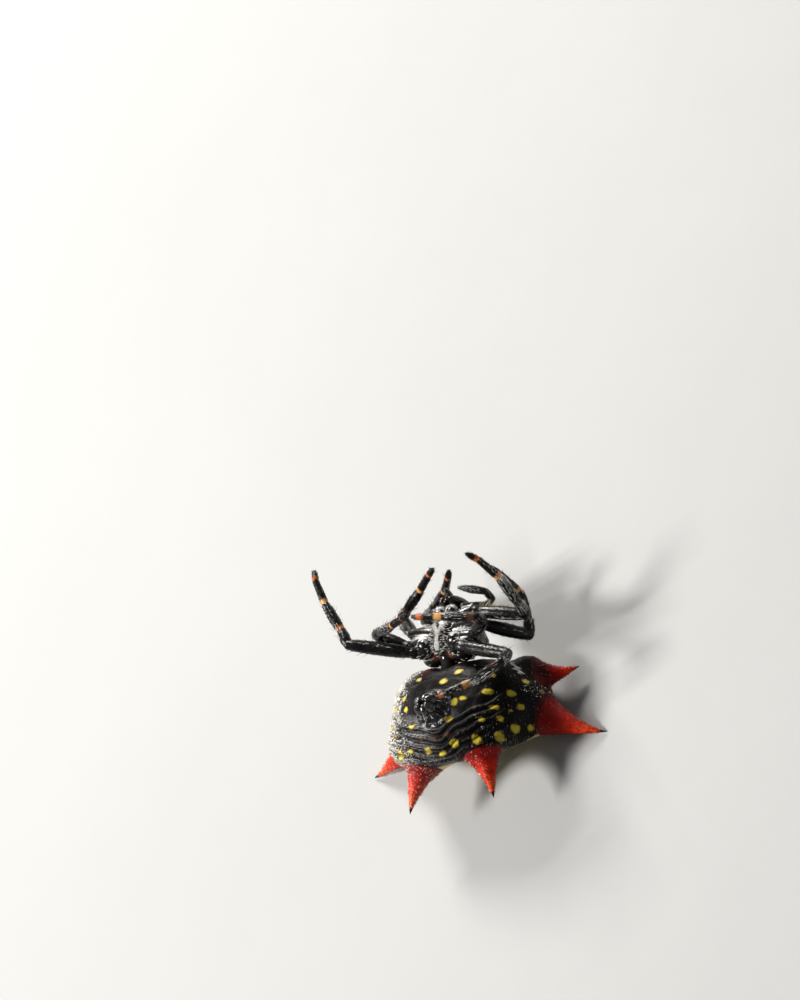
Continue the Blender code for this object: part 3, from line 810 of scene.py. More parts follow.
def abdomen_relief(a):
    """How far folds, wrinkles, lung covers, pits and spots move the skin outwards."""
    deep = 0.15 + 0.05 * smooth(0.3, -1.0, a.x)
    shift = a.folds * deep * (np.sin(math.pi * a.phase) ** 0.8 - 0.75)
    shift += a.folds * 0.009 * np.sin(27 * a.x + 2 * np.sin(3 * a.place)) * np.sin(math.pi * a.phase)
    turn = np.arctan2(a.y - MOUND[1], a.x - MOUND[0])
    wrinkles = 0.03 + 0.07 * np.sin(13 * turn + 1.6 * np.sin(2 * turn))
    shift += a.on_mound * hump(a.from_mound - 0.60, 0.15) * wrinkles
    shift -= 0.06 * a.on_mound * hump(a.from_mound - 0.93, 0.09) * (0.7 + 0.3 * np.sin(3 * turn + 1))
    rolls = np.sin(3.1 * a.x + 1.3) * np.sin(2.7 * a.y) * np.sin(2.1 * a.z + 0.5)
    rolls += 0.4 * np.sin(8 * a.x + a.y) * np.sin(7 * a.y - 2 * a.x + 3 * a.z)
    shift += 0.05 * a.lung - 0.06 * a.furrow + 0.022 * rolls * a.belly * a.plain
    shift -= 0.04 * a.back * smooth(0.03, -0.04, a.pit) * (a.z > 0.02)
    shift += 0.012 * smooth(0.03, -0.06, a.spot)
    return np.where(a.z < 0.01, 0, shift)


def make_abdomen_skin(points, quads, a):
    skin = new_mesh("abdomen_skin", points, [quads], abdomen_finish())
    on_right = a.x < 0
    # Pale grains: a few on both flanks and the rear, many more on the sunlit right flank as painted glare
    speck_and_glint = a.flank * np.where(on_right, 0.12 + 0.58 * a.shown, 0.04) + a.rear * np.where(on_right, 0.3, 0.06)
    trough = hump(np.minimum(a.phase, 1 - a.phase), 0.11)
    # Painted glare: chalky white on the sunlit right flank, only where it is seen
    painted_glare = 0.66 * smooth(1.5, 2.5, -a.x + 0.2 * (a.y - 0.5)) * a.shown * a.belly * a.plain
    wet = smooth(-1.0, -2.2, a.x) * a.belly + 0.5 * a.folds * smooth(0.6, -1.0, a.x)
    wet += 0.25 * a.red * smooth(1.8, -1.0, a.x) + a.on_mound * smooth(1.0, 0.8, a.from_mound)
    veins = [segment_gap(points, *(np.array(v) * [s, 1, 1] for v in line)) for s in (1, -1) for line in VEINS]
    values = {
        "red": a.red, "along": a.along, "spot": a.spot, "gold": smooth(1.9, 1.2, a.y), "pale": a.back,
        "pit": a.pit, "brown": spot_field(points, BROWN_SPOTS), "vein": np.min(veins, axis=0) - 0.05,
        # groove marks the fold troughs and the furrow, darkened as painted shade
        "groove": np.clip(a.folds * trough + a.furrow, 0, 1),
        "wine": np.clip(a.lung * np.where(on_right, 1.2, 0.5) + a.halo, 0, 1),
        "speck_and_glint": np.clip(speck_and_glint + 0.5 * a.notch, 0, 1) * a.plain, "sun": smooth(0.9, -0.6, a.x),
        "painted_glare": painted_glare * smooth(-1.5, 0.3, a.y), "wet": np.clip(wet, 0, 1),
    }
    for name, value in values.items():
        give(skin, name, value)
    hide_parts("abdomen")


def skin_setae(coat, points, normals, a):
    """Short dark red setae on the spines, fine pale ones on the flanks and the rim, dark ones on the belly.
    The pale ones crowd the sunlit right flank as partly painted glare.
    """
    high, on_right = a.z > COAT_FROM, a.x < 0
    edge = hump(a.z - a.rim - 0.1, 0.25) * a.plain
    # More pale setae on the sunlit right flank: partly painted glare
    pale = a.flank * np.where(on_right, 0.2 + 1.1 * a.shown, 0.08) + 0.9 * edge
    pale = np.clip(pale + a.rear * np.where(on_right, 0.4, 0.15), 0, 3)
    rows = (
        (1900, a.red * (a.along < 0.97) * high, 0.095, 0.0065, (0.55, 0.85), (0.10, 0.012, 0.008), 0.15),
        (1400, pale * high, 0.12, 0.0065, (0.25, 0.6), (0.60, 0.56, 0.42), 0.2),
        (1500, a.belly * a.plain, 0.10, 0.0055, (0.25, 0.6), (0.06, 0.05, 0.045), 0.2),
    )
    for count, share, length, thick, stand, colour, bend in rows:
        picked = pick(share, count)
        root, normal = points[picked] - ROOT_DEPTH * normals[picked], normals[picked]
        way = along_skin(a.lie[picked], normal)
        rise = rng.uniform(*stand, (count, 1))
        ways = unit(way * (1 - rise) + normal * rise + rng.normal(0, 0.10, root.shape))
        size = length * rng.uniform(0.7, 1.25, count)
        tint = np.array(colour) * rng.uniform(0.6, 1.1, (count, 1))
        hairs(coat, root, ways, size, thick, bend * way, tint, sphere_map(root, MAP_CENTRE))


def mound_fringe(coat):
    """Hairs that lean in over the spinnerets from the top of their mound."""
    count = 46
    turn = np.arange(count) * 2 * math.pi / count + rng.normal(0, 0.05, count)
    out = np.stack([np.cos(turn), np.sin(turn), 0 * turn], 1)
    root = np.array([*MOUND, MOUND_TOP - 0.16]) + out * rng.uniform(0.48, 0.66, (count, 1))
    ways = unit(0.15 * out + [0, 0, 1.0] + rng.normal(0, 0.15, out.shape))
    tint = np.where(rng.random((count, 1)) < 0.6, (0.7, 0.67, 0.6), BROWN_HAIR)
    size, spots = rng.uniform(0.18, 0.30, count), sphere_map(root, MAP_CENTRE)
    hairs(coat, root, ways, size, 0.012, -0.7 * out, tint, spots, (0, 0.35, 0.7))


def shoulder_strokes(coat, points, normals):
    """White scale-like hairs in short strokes on the front shoulder."""
    count = 9
    for across, rise in WHITE_STROKES:
        gap = np.hypot(points @ RIGHT - across, points @ UPWARD - rise)
        picked = pick(hump(gap, 0.06) * (normals @ TOWARDS > 0.1), count)
        root, normal = points[picked], normals[picked]
        way = along_skin(RIGHT - 0.35 * UPWARD, normal)
        size = rng.uniform(0.22, 0.34, count)
        hairs(coat, root, way + 0.05 * normal, size, 0.018, 0 * way, WHITE_HAIR, sphere_map(root, MAP_CENTRE))


def mound_glint_hairs(coat):
    """Single pale hairs that curve round the mound, laid as painted highlights for the glints on its glossy
    folds.
    """
    turn = np.array((0.3, 1.1, 1.9, 2.5, 3.0, 3.6, 4.3, 5.2))
    out = np.stack([np.cos(turn), np.sin(turn), 0 * turn], 1)
    root = np.array([*MOUND, 0]) + out * rng.uniform(0.56, 0.82, (8, 1)) + [0, 0, MOUND_TOP - 0.30]
    root[:, 2] -= 0.5 * (np.linalg.norm(root[:, :2] - MOUND, axis=1) - 0.56)
    ways = np.stack([-out[:, 1], out[:, 0], 0 * turn], 1)
    size, spots, stations = rng.uniform(0.24, 0.40, 8), sphere_map(root, MAP_CENTRE), (0, 0.25, 0.5, 0.75)
    hairs(coat, root, ways, size, 0.020, -0.30 * out, (0.72, 0.70, 0.66), spots, stations)


def make_granules(points, normals, a):
    """Glossy granules on the spines, the sunlit flank and the notch between two spines. Those on the
    spines' sunlit side and on the right flank are tinted pale as painted glints.
    """
    beads = Bundle()
    high = a.z > COAT_FROM
    left = smooth(-0.9, -2.0, a.x) * a.belly * smooth(4.05, 3.35, a.z) * (0.1 + 0.9 * a.shown)
    lit = np.maximum(-normals @ RIGHT, a.x < 0)
    on_spines = a.red * (a.along < 0.9) * high * (a.along > 0)
    on_flank = np.clip(left + 0.12 * a.notch, 0, 2) * a.plain * (a.spot > 0.02) * high
    # Dark red granules on the left spines; pale ones where the spines face the sun and on the right flank, as
    # painted glints
    for count, share, big, colour in (
        (1500, on_spines * (a.x > 0), 1.0, (0.34, 0.012, 0.006)),
        (760, on_spines * (a.x < 2.9) * (lit > 0.15), 1.25, (0.95, 0.46, 0.34)),
        (2000, on_flank, 1.0, (0.86, 0.83, 0.76)),
    ):
        picked = pick(share, count)
        normal = normals[picked]
        root = points[picked] - 0.01 * normal
        size = big * rng.uniform(0.035, 0.060, count)
        tint, spots = np.array(colour) * rng.uniform(0.5, 1.1, (count, 1)), sphere_map(root, MAP_CENTRE)
        hairs(beads, root, normal, size, 0.7 * size, 0 * root, tint, spots, (0, 0.55))
    made = beads.build("abdomen_granules", hair_finish("granule", 0.16, 0.7))


def make_abdomen():
    points, quads, normals = grown_skin("abdomen", abdomen_field, voxel=0.038, swell=0.05)
    areas = AbdomenAreas(points)
    points = points + abdomen_relief(areas)[:, None] * normals
    points[:, 2] = np.maximum(points[:, 2], 0)
    make_abdomen_skin(points, quads, areas)
    coat = Bundle()
    skin_setae(coat, points, normals, areas)
    mound_fringe(coat)
    shoulder_strokes(coat, points, normals)
    mound_glint_hairs(coat)
    made = coat.build("abdomen_setae", hair_finish("abdomen_hair"))
    make_granules(points, normals, areas)


def make_spinnerets():
    """Six blunt cones that lean together over a ring of folded skin."""
    kit = Bundle()
    base = np.array([*MOUND, MOUND_TOP - 0.16])
    t = np.linspace(0, 1, 12)
    dome = loft(base + t[:, None] * [0, 0, 0.24], 0.50 * np.sqrt(1 - 0.96 * t**2), 32)
    kit.add(*dome, tint=(0.008, 0.007, 0.007))
    for i in range(6):
        turn = math.pi * (i + 0.5) / 3
        out = np.array([math.cos(turn), math.sin(turn), 0])
        inner = i % 3 == 1
        foot = base + out * (0.28 if inner else 0.36) + [0, 0, 0.02]
        mid = base + out * 0.42 + [0, 0, 0.34]
        top = base + out * (0.08 if inner else 0.15) + [0, 0, 0.50 if inner else 0.58]
        t = np.linspace(0, 1, 16)[:, None]
        path = (1 - t) ** 2 * foot + 2 * t * (1 - t) * mid + t * t * top
        rings = 1 + 0.05 * np.sin(t[:, 0] * 22)
        radii = [0.17, 0.215, 0.21, 0.185, 0.12, 0.04]
        radii = np.interp(t[:, 0], [0, 0.2, 0.5, 0.72, 0.9, 1], radii) * rings
        kit.add(*loft(path, radii * (0.8 if inner else 1.0), 18), tint=(0.012, 0.009, 0.008))
    made = kit.build("spinneret_skin", cuticle("spinneret_shell", 0.16, gloss=0.7))
    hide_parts("spinnerets")


# Limbs
def direction_of(azimuth, rise):
    a, b = math.radians(azimuth), math.radians(rise)
    return np.array([math.cos(b) * math.cos(a), math.cos(b) * math.sin(a), math.sin(b)])


def chain_of(start, lengths, pose):
    points = [np.array(start, float)]
    for length, (azimuth, rise) in zip(lengths, pose):
        points.append(points[-1] + length * direction_of(azimuth, rise))
    return points


def curve_through(*values):
    at = np.linspace(0, 1, len(values))
    return lambda t: np.interp(t, at, values)


def soft(profile):
    """The same profile with its corners rounded."""
    def rounded(t):
        low, high = np.clip(t - 0.05, 0, 1), np.clip(t + 0.05, 0, 1)
        return (profile(low) + 2 * profile(t) + profile(high)) / 4

    return rounded


def femur_shape(length):
    """The hip's ball, a neck, then a thigh that is thickest in its middle."""
    at = np.array([0, 0.08, 0.18, 0.28, 0.36, 0.46, 0.85, length * 0.62, length - 0.2, length]) / length
    return soft(lambda t: np.interp(t, at, (0.20, 0.26, 0.285, 0.25, 0.20, 0.235, 0.285, 0.295, 0.25, 0.20)))


LEG_SHAPES = (
    soft(curve_through(0.19, 0.235, 0.245, 0.24, 0.20)),
    soft(curve_through(0.18, 0.215, 0.225, 0.225, 0.22, 0.175)),
    soft(curve_through(0.155, 0.175, 0.170, 0.160, 0.155, 0.145)),
    soft(curve_through(0.135, 0.150, 0.145, 0.135, 0.115, 0.065)),
)
PALP_SHAPES = (
    soft(curve_through(0.13, 0.16, 0.17, 0.15)), soft(curve_through(0.14, 0.165, 0.14)),
    soft(curve_through(0.14, 0.16, 0.145)), soft(curve_through(0.14, 0.17, 0.17, 0.14, 0.06)),
)
# Bands: segment, from and to in millimetres from its joint, colour
LEG_BANDS = ((3, -0.10, 0.24, PALE_ORANGE), (4, -0.09, 0.18, RED_ORANGE), (1, -0.1, 0.06, BROWN))
# How far the bands stand out beyond their joints
BAND_SHIFT = {(4, "left"): 0.20, (3, "left"): 0.15, (3, "right"): -0.10}
TIP_CUT = 0.20
# How silvery each leg's thigh and shin are: partly real white hair and partly painted highlight, so the two
# sides differ
SILVER_AND_SHEEN = {
    (1, "left"): (0.3, 1.0), (2, "left"): (0.1, 0.3), (3, "left"): (0.2, 0.2), (4, "left"): (0.9, 0.3),
    (1, "right"): (0.7, 1.0), (2, "right"): (0.4, 0.7), (3, "right"): (0.3, 0.4), (4, "right"): (0.06, 0.25),
}


def limb_colours(t, segment, bands):
    """Black, with the bands whose segment this is."""
    tint = np.tile(BLACK, (len(t), 1)).astype(float)
    for where, low, high, colour in bands:
        if where == segment:
            share = smooth(low - 0.04, low + 0.04, t) * smooth(high + 0.06, high - 0.05, t)
            tint = tint * (1 - share[:, None]) + np.array(colour) * share[:, None]
    return tint


class Hair(NamedTuple):
    """One sort of hair on a limb. The amount is for each millimetre of each segment from the hip out.
    A lane is an angle from the side that points out of the knee, and silver hair follows SILVER_AND_SHEEN."""

    amount: tuple
    lanes: tuple
    spread: float
    rise: float
    length: tuple
    radius: float
    bend: float
    tint: tuple
    silver_and_sheen: bool = False


ALL_ROUND = (0, 60, 120, 180, 240, 300)
QUARTERS = (0, 90, 180, 270)
LEG_HAIRS = (
    Hair((14, 400, 320, 70, 0), (-30, 0, 30), 16, 0.10, (0.14, 0.26), 0.0090, 0.08, WHITE_HAIR, True),
    Hair((190, 90, 60, 0, 0), (90, -90), 6, 0.10, (0.14, 0.26), 0.0090, 0.08, WHITE_HAIR, True),
    Hair((130, 130, 130, 150, 180), ALL_ROUND, 30, 0.30, (0.11, 0.20), 0.0075, 0.15, BLACK_HAIR),
    Hair((11, 12, 14, 12, 8), QUARTERS, 30, 0.85, (0.20, 0.34), 0.0095, 0.25, (0.10, 0.075, 0.05)),
)
PALP_HAIRS = (
    Hair((160, 260, 240, 200, 0), (0, 180), 24, 0.15, (0.10, 0.18), 0.0080, 0.1, WHITE_HAIR),
    Hair((120, 120, 140, 220, 0), QUARTERS, 40, 0.35, (0.09, 0.17), 0.0075, 0.15, BLACK_HAIR),
)


def segment_hairs(coat, s, start, end, shape, hair, density, over, row, done, total):
    """One sort of hair on one segment of a limb. over points out of the knee, row is the limb's strip
    of the coat's map, and done of total is the length of the limb before this segment."""
    length = np.linalg.norm(end - start)
    along = unit(end - start)
    across = np.cross(over, along)
    amount = int(hair.amount[min(s, 4)] * length * (density[min(s, 1)] if hair.silver_and_sheen else 1))
    if not amount:
        return
    at = rng.uniform(0.02, 0.98, amount)
    lanes = np.radians(np.array(hair.lanes))
    turn = lanes[rng.integers(0, len(lanes), amount)] + rng.normal(0, math.radians(hair.spread), amount)
    clump = np.sin(at * length * 19 + turn * 3 + row) > rng.uniform(-3.0, 1.0, amount)
    at, turn = at[clump], turn[clump]
    amount = len(at)
    out = np.cos(turn)[:, None] * over + np.sin(turn)[:, None] * across
    root = start + at[:, None] * (end - start) + out * (shape(at) - 0.012)[:, None]
    rise = hair.rise + rng.normal(0, 0.07, amount)
    ways = np.cos(rise)[:, None] * along + np.sin(rise)[:, None] * out + rng.normal(0, 0.06, root.shape)
    size = rng.uniform(*hair.length, amount) * (0.75 if s > 2 else 1.0)
    tint = np.array(hair.tint) * rng.uniform(0.6, 1.05, (amount, 1))
    u = (done + at * length) / total * 0.98 + 0.01
    v = (row + (turn / math.tau % 1) * 0.9 + 0.05) / 12
    spots = np.stack([u, v], 1)
    hairs(coat, root, ways, size, hair.radius, hair.bend * (along - 0.3 * out), tint, spots)


def dress_limb(kit, coat, points, shapes, bands, row, sides, density, styles):
    """Adds a limb's segments to kit and its hairs to coat."""
    dorsal = knee_side(points)
    done, total = 0.0, sum(np.linalg.norm(b - a) for a, b in zip(points, points[1:]))
    for s, (start, end) in enumerate(zip(points, points[1:])):
        length = np.linalg.norm(end - start)
        path, radii, t = round_ends(start, end, shapes[s], max(14, int(length / 0.05)))
        tint = np.repeat(limb_colours(t * length, s, bands), sides, 0)
        turn = np.tile(np.arange(sides) * 2 * math.pi / sides, len(t))
        reach = np.repeat(0.16 * (done + t * length), sides)
        grain = np.stack([0.25 * np.cos(turn), 0.25 * np.sin(turn), reach], 1)
        tint, grain = (np.concatenate([v, v[:1], v[-1:]]) for v in (tint, grain))
        kit.add(*loft(path, radii, sides), tint=tint, grain=grain)
        along = unit(end - start)
        over = unit(dorsal - along * (dorsal @ along))
        for hair in styles:
            segment_hairs(coat, s, start, end, shapes[s], hair, density, over, row, done, total)
        done += length


def knee_side(points):
    """The direction that points out of a limb's bend."""
    middle = (points[0] + points[-1]) / 2
    return unit((points[1] + points[2]) / 2 - middle)


def leg_points(number, side_name):
    x, y, z = COXA_ENDS[number]
    return chain_of((SIDES[side_name] * x, y, z), LEG_LENGTHS[number], LEG_POSE[number, side_name])


def claws(kit, before, tip):
    along = unit(tip - before)
    across = unit(np.cross(along, [0.3, 0.2, 1.0]))
    over = np.cross(across, along)
    for turn in (-1, 1):
        t = np.linspace(0, 1, 7)[:, None]
        path = tip - 0.02 * along + t * 0.14 * along + 0.03 * turn * across * (1 - 0.2 * t)
        path = path - 0.09 * over * t**2
        kit.add(*loft(path, 0.022 * (1 - 0.93 * t[:, 0]), 6), tint=(0.02, 0.012, 0.008))


def make_legs():
    # Legs made most silvery get the paler-streaked shell, so its pale down is partly painted highlight too
    dark = cuticle("dark_leg_shell", 0.26, streaks=0.05, gloss=0.18)
    shells = (dark, cuticle("leg_shell", 0.24, streaks=0.12, gloss=0.2))
    fur = hair_finish("leg_hair", 0.45, 0.22)
    for side_name in SIDES:
        coat = Bundle()
        for number in LEG_LENGTHS:
            kit = Bundle()
            points = leg_points(number, side_name)
            points[-1] = points[-1] - TIP_CUT * unit(points[-1] - points[-2])
            shapes = (femur_shape(LEG_LENGTHS[number][0]), *LEG_SHAPES)
            shift = BAND_SHIFT.get((number, side_name), 0)
            # The fourth left leg's bands are dimmed and its shin band brown rather than orange: painted shade
            shin = (2, -0.08, 0.20, ORANGE if (number, side_name) == (4, "right") else BROWN)
            painted_band_shade = 0.45 if (number, side_name) == (4, "left") else 1.0
            bands = [(a, b + shift, c + shift, painted_band_shade * np.array(d)) for a, b, c, d in (shin, *LEG_BANDS)]
            silver_and_sheen = SILVER_AND_SHEEN[number, side_name]
            dress_limb(kit, coat, points, shapes, bands, number - 1, 22, silver_and_sheen, LEG_HAIRS)
            claws(kit, points[-2], points[-1])
            made = kit.build(f"leg_{number}_{side_name}", shells[max(silver_and_sheen) > 0.5])
            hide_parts(f"leg_{number}_{side_name}_femur", f"leg_{number}_{side_name}_shin")
        if side_name == "left":
            top_row(coat)
        made = coat.build(f"leg_hairs_{side_name}", fur)


def top_row(coat):
    """The row of long pale bristles along the upper edge of the first left femur."""
    points = leg_points(1, "left")
    start, end = points[0], points[1]
    along = unit(end - start)
    out = unit(UPWARD + 0.2 * TOWARDS - along * ((UPWARD + 0.2 * TOWARDS) @ along))
    at = np.linspace(0.12, 0.95, 26) + rng.normal(0, 0.012, 26)
    root = start + at[:, None] * (end - start) + out * (femur_shape(LEG_LENGTHS[1][0])(at) - 0.02)[:, None]
    ways = unit(out + 0.35 * along + rng.normal(0, 0.12, root.shape))
    spots = np.stack([at * 0.35, np.full(26, 0.06)], 1)
    hairs(coat, root, ways, rng.uniform(0.26, 0.40, 26), 0.013, 0.2 * along, (0.44, 0.38, 0.22), spots)


def make_palps():
    coat = Bundle()
    shell = cuticle("palp_shell", 0.28, streaks=0.4)
    x, y, z = PALP_ROOT
    for row, (side_name, side) in enumerate(SIDES.items()):
        kit = Bundle()
        points = chain_of((side * x, y, z), PALP_LENGTHS, PALP_POSE[side_name])
        dress_limb(kit, coat, points, PALP_SHAPES, (), row, 18, (1, 1), PALP_HAIRS)
        made = kit.build(f"palp_skin_{side_name}", shell)
        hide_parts(f"palp_{side_name}")
    made = coat.build("palp_hairs", hair_finish("palp_hair"))


# The prosoma
STERNUM = ((0, 3.95, 4.06), (0.58, 0.80, 0.27))
# The white mark on the sternum, as two lines
STERNUM_MARK = (
    ((0, 3.35, 0), (0, 3.98, 0), (0.30, 4.5, 0)),
    ((0, 3.98, 0), (-0.30, 4.5, 0)),
)


def coxa_seam(points):
    """Where two neighbouring coxae are nearest to each other, and the distance to the nearest one."""
    reach = np.sort([
        capsule(points, coxa_root(number, side), (side * a, b, c), 0.31, 0.27, 0.35)
        for side in (1, -1) for number, (a, b, c) in COXA_ENDS.items()
    ], 0)
    return smooth(0.11, 0.03, reach[1] - reach[0]), reach[0]


def prosoma_tint(x, y, z, chalk_and_glare):
    """Black, brown where soft skin shows behind the last legs, and chalky under the white bands and on top of
    the fourth coxae's knobs, where it is partly painted highlight.
    """
    cloud = np.sin(3 * x + 1) * np.sin(4 * y) * 0.5 + 0.5
    tint = np.array(BLACK) + cloud[:, None] * np.array([0.005, 0.003, 0.002])
    away = np.linalg.norm(np.stack([np.abs(x) - 0.42, y - 3.28, z - 3.72], 1), axis=1)
    soft_skin = smooth(0.36, 0.16, away)[:, None]
    tint = tint * (1 - soft_skin) + np.array((0.085, 0.026, 0.009)) * soft_skin
    uneven = 0.75 + 0.25 * np.sin(31 * x + 9 * y) * np.sin(27 * y - 8 * z)
    chalk_and_glare = np.clip(chalk_and_glare, 0, 0.8)[:, None] * uneven[:, None]
    return tint * (1 - chalk_and_glare) + np.array((0.62, 0.60, 0.55)) * chalk_and_glare


def make_prosoma_coat(points, normals, area, mark):
    """White hairs that point outwards, forwards on the back and rearwards on the sternum's mark."""
    coat = Bundle()
    count = 4800
    picked = pick(area, count)
    root, normal = points[picked] - ROOT_DEPTH * normals[picked], normals[picked]
    outward = unit(np.stack([np.sign(root[:, 0]), 0.35 * (root[:, 1] - 4.0), 0 * root[:, 0]], 1))
    outward = np.where((root[:, 2] < 3.2)[:, None], [[0, 1.0, 0.2]], outward)
    outward = np.where((mark[picked] > 0.2)[:, None], [[0, -1.0, 0]], outward)
    way = along_skin(outward, normal)
    rise = rng.uniform(0.05, 0.28, (count, 1))
    ways = unit(way * (1 - rise) + normal * rise + rng.normal(0, 0.13, root.shape))
    tint = np.array(WHITE_HAIR) * rng.uniform(0.7, 1.05, (count, 1))
    size, spots = rng.uniform(0.09, 0.19, count), sphere_map(root, [0, 4.3, 3.1])
    hairs(coat, root, ways, size, 0.0090, 0.12 * way, tint, spots)
    made = coat.build("prosoma_hairs", hair_finish("prosoma_hair"))


def make_prosoma():
    points, quads, normals = grown_skin("prosoma", prosoma_field, voxel=0.035, swell=0.03)
    x, y, z = points.T
    plate = egg(points, *STERNUM)
    shift = 0.012 * np.sin(9 * y + 2 * x) * hump(plate, 0.05)
    shift -= 0.05 * smooth(2.6, 2.2, z) * hump(np.hypot(x, (y - 3.9) * 1.2) - 0.75, 0.1)
    points = points + shift[:, None] * normals
    seam, nearest = coxa_seam(points)
    seam = seam * (nearest < 0.08) * (z > 3.45) * (plate > 0.04)
    edge = smooth(0.10, 0.03, np.abs(plate - 0.03)) * (z > 3.9)
    lines = [segment_gap(points * [1, 1, 0], *line) for line in STERNUM_MARK]
    mark = smooth(0.11, 0.05, np.min(lines, axis=0)) * (plate < 0.05) * (z > 3.9)
    lips = smooth(4.55, 4.75, y) * smooth(0.07, 0.0, np.abs(np.abs(x) - 0.17)) + smooth(5.1, 5.25, y)
    lips = lips * (z > 3.7)
    # White hair and chalk on the top of each fourth coxa's knob: partly real hair, partly painted highlight
    knob_hair_and_highlight = smooth(0.20, 0.08, np.hypot(np.abs(x) - 0.80, (y - 3.84) * 1.4)) * (z > 4.1)
    flank = (np.abs(normals[:, 2]) < 0.75) * (z > 3.3)
    dome = smooth(3.2, 2.8, z) * 0.22
    area = 6.0 * mark + 4.5 * seam + 3 * knob_hair_and_highlight + 0.12 * edge + 1.2 * lips + 0.04 * flank + 0.45 * dome
    skin = new_mesh("prosoma_skin", points, [quads], cuticle("prosoma_shell", 0.2, gloss=0.4))
    give(skin, "tint", prosoma_tint(x, y, z, 0.75 * mark + 0.25 * seam + 0.5 * knob_hair_and_highlight))
    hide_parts("prosoma")
    make_prosoma_coat(points, normals, np.clip(area, 0, 6), mark)


def make_face():
    """Eyes, chelicerae and fangs."""
    glass = {"Specular_IOR_Level": 0.8, "Coat_Weight": 1.0, "Coat_Roughness": 0.03}
    wet, tree, shader = finish_of("eye_glass", 0.06, **glass)
    amber = mix(tree, ramp(tree, noise(tree, 12.0), 0.4, 0.7), (0.016, 0.006, 0.003), (0.05, 0.018, 0.006))
    tree.links.new(amber, shader.inputs["Base Color"])
    for side_name, side in SIDES.items():
        for i, (x, y, z, radius) in enumerate(EYES):
            t = np.linspace(0, math.pi, 15)
            facing = unit((side * (0.5 if i > 1 else 0.15), 1.0, -0.55))
            centre = np.array([side * x, y, z]) + 0.02 * facing
            path = centre - np.cos(t)[:, None] * radius * facing
            kit = Bundle()
            kit.add(*loft(path, np.maximum(np.sin(t) * radius, 0.001), 24))
            made = kit.build(f"eye_{i + 1}_{side_name}", wet)
        t = np.linspace(0, 1, 16)
        base, end = np.array([side * 0.27, 5.55, 2.68]), np.array([side * 0.2, 5.62, 4.05])
        path = base + t[:, None] * (end - base) + np.sin(t * math.pi)[:, None] * [side * 0.03, 0.07, 0]
        kit = Bundle()
        radii = np.interp(t, [0, 0.15, 0.4, 0.7, 0.9, 1], [0.20, 0.265, 0.265, 0.225, 0.17, 0.06])
        kit.add(*loft(path, radii, 20), tint=(0.010, 0.008, 0.008))
        made = kit.build(f"chelicera_skin_{side_name}", cuticle(f"jaw_shell_{side_name}", 0.22))
        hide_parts(f"chelicera_{side_name}")
        t = np.linspace(0, 1, 10)[:, None]
        a, b, c = np.array(((0.2, 5.6, 3.98), (0.12, 5.52, 4.22), (0.06, 5.38, 4.12))) * [side, 1, 1]
        path = (1 - t) ** 2 * a + 2 * t * (1 - t) * b + t * t * c
        kit = Bundle()
        kit.add(*loft(path, 0.07 * (1 - 0.94 * t[:, 0] ** 1.3), 12), tint=(0.05, 0.008, 0.004))
        made = kit.build(f"fang_{side_name}", cuticle(f"fang_shell_{side_name}", 0.2))


def make_pedicel():
    t = np.linspace(0, 1, 14)
    path = np.stack([0 * t, 2.30 + 1.10 * t, 3.14 + 0.24 * t], 1)
    kit = Bundle()
    radii = np.interp(t, [0, 0.2, 0.5, 0.8, 1], [0.50, 0.44, 0.36, 0.40, 0.46]) + 0.012 * np.sin(t * 30)
    # Near black and dull: the stalk's own dark colour deepened into painted shade for the hollow between
    # prosoma and abdomen
    kit.add(*loft(path, radii, 24), tint=(0.004, 0.003, 0.002))
    made = kit.build("pedicel_skin", cuticle("stalk_shell", 0.62, gloss=0.08))
    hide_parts("pedicel")


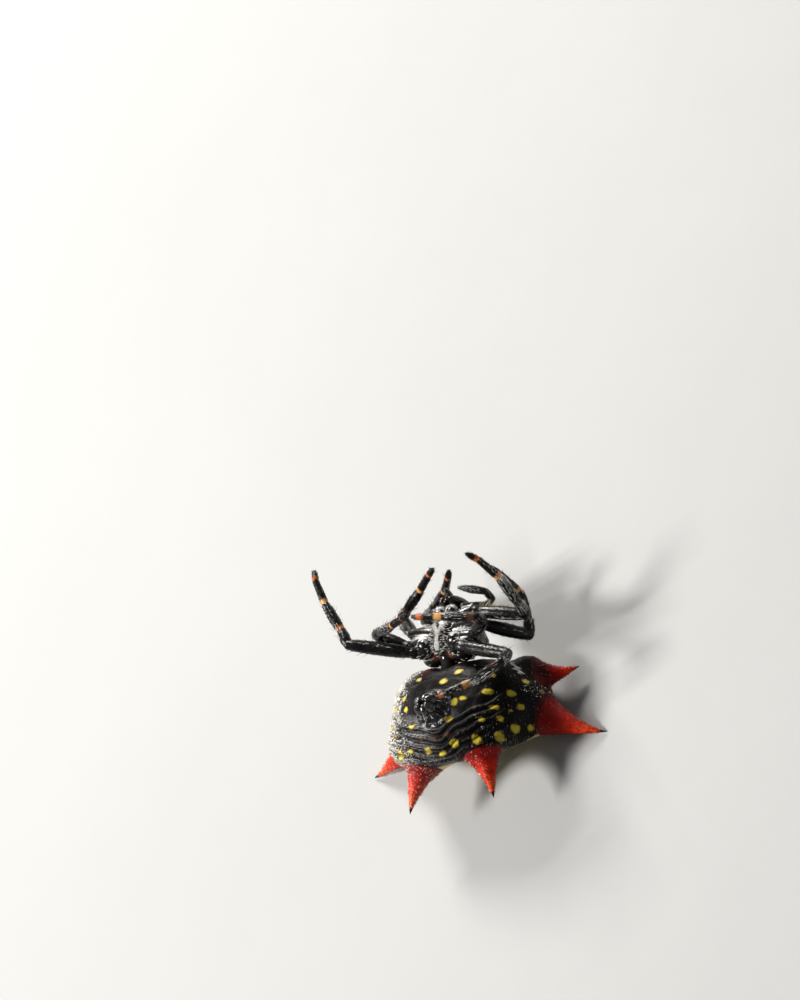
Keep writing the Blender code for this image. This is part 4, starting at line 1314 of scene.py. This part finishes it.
# Floor, light and camera
def make_stage():
    made, tree, shader = finish_of("pale_floor", 0.85)
    tint = mix(tree, noise(tree, 0.05), (0.30, 0.30, 0.295), (0.33, 0.33, 0.325))
    tree.links.new(tint, shader.inputs["Base Color"])
    tree.links.new(spread(tree, noise(tree, 0.4), 0.78, 0.92), shader.inputs["Roughness"])
    tree.links.new(bump(tree, noise(tree, 3.0), 0.2, 0.02), shader.inputs["Normal"])
    mesh = bpy.data.meshes.new("floor")
    mesh.from_pydata([(-3, -3, 0), (3, -3, 0), (3, 3, 0), (-3, 3, 0)], [], [(0, 1, 2, 3)])
    mesh.materials.append(made)
    floor = bpy.data.objects.new("floor", mesh)
    bpy.context.scene.collection.objects.link(floor)
    world = bpy.data.worlds.new("studio")
    bpy.context.scene.world = world
    world.use_nodes = True
    world.node_tree.nodes["Background"].inputs["Color"].default_value = (0.86, 0.90, 0.95, 1)
    world.node_tree.nodes["Background"].inputs["Strength"].default_value = 0.20


def lamp(name, way, distance, size, power, colour=(1, 1, 1)):
    """A soft square lamp that shines at the spider from a direction."""
    light = bpy.data.lights.new(name, "AREA")
    light.size = size
    light.energy = power
    light.color = colour
    made = bpy.data.objects.new(name, light)
    bpy.context.scene.collection.objects.link(made)
    way = unit(way)
    at = (np.array([0, 2.0, 2.5]) + HOME) * MM + way * distance
    made.location = at
    made.rotation_mode = "QUATERNION"
    made.rotation_quaternion = Vector(way).to_track_quat("Z", "Y")


def make_light():
    lamp("key", -0.50 * RIGHT + 0.82 * UPWARD - 0.16 * TOWARDS, 0.22, 0.060, 0.85, (1.0, 0.97, 0.93))
    lamp("side", -0.97 * RIGHT - 0.05 * UPWARD + 0.22 * TOWARDS, 0.22, 0.050, 0.95, (1.0, 0.98, 0.95))
    lamp("fill", 0.8 * RIGHT + 0.25 * UPWARD + 0.7 * TOWARDS, 0.25, 0.16, 0.055, (0.92, 0.96, 1.0))


def make_camera():
    """Far off, so that it has next to no perspective, and aimed as the photograph was."""
    camera = bpy.data.cameras.new("camera")
    distance = 0.6
    high = 2 * PICTURE_MIDDLE[1] / PIXELS * MM
    camera.sensor_width = 36
    camera.lens = 36 / 2 / (high / 2 / distance)
    camera.clip_start, camera.clip_end = 0.01, 20
    made = bpy.data.objects.new("camera", camera)
    bpy.context.scene.collection.objects.link(made)
    across = (PICTURE_MIDDLE[0] - ORIGIN_PIXEL[0]) / PIXELS
    up = (ORIGIN_PIXEL[1] - PICTURE_MIDDLE[1]) / PIXELS
    aim = (across * RIGHT + up * UPWARD + 1.3 * TOWARDS + HOME) * MM
    turn = Matrix((RIGHT, UPWARD, TOWARDS)).transposed().to_4x4()
    made.matrix_world = Matrix.Translation(aim + TOWARDS * distance) @ turn
    bpy.context.scene.camera = made
    bpy.context.scene.view_settings.view_transform = "Standard"


make_abdomen()
make_spinnerets()
make_pedicel()
make_prosoma()
make_face()
make_palps()
make_legs()
make_stage()
make_light()
make_camera()
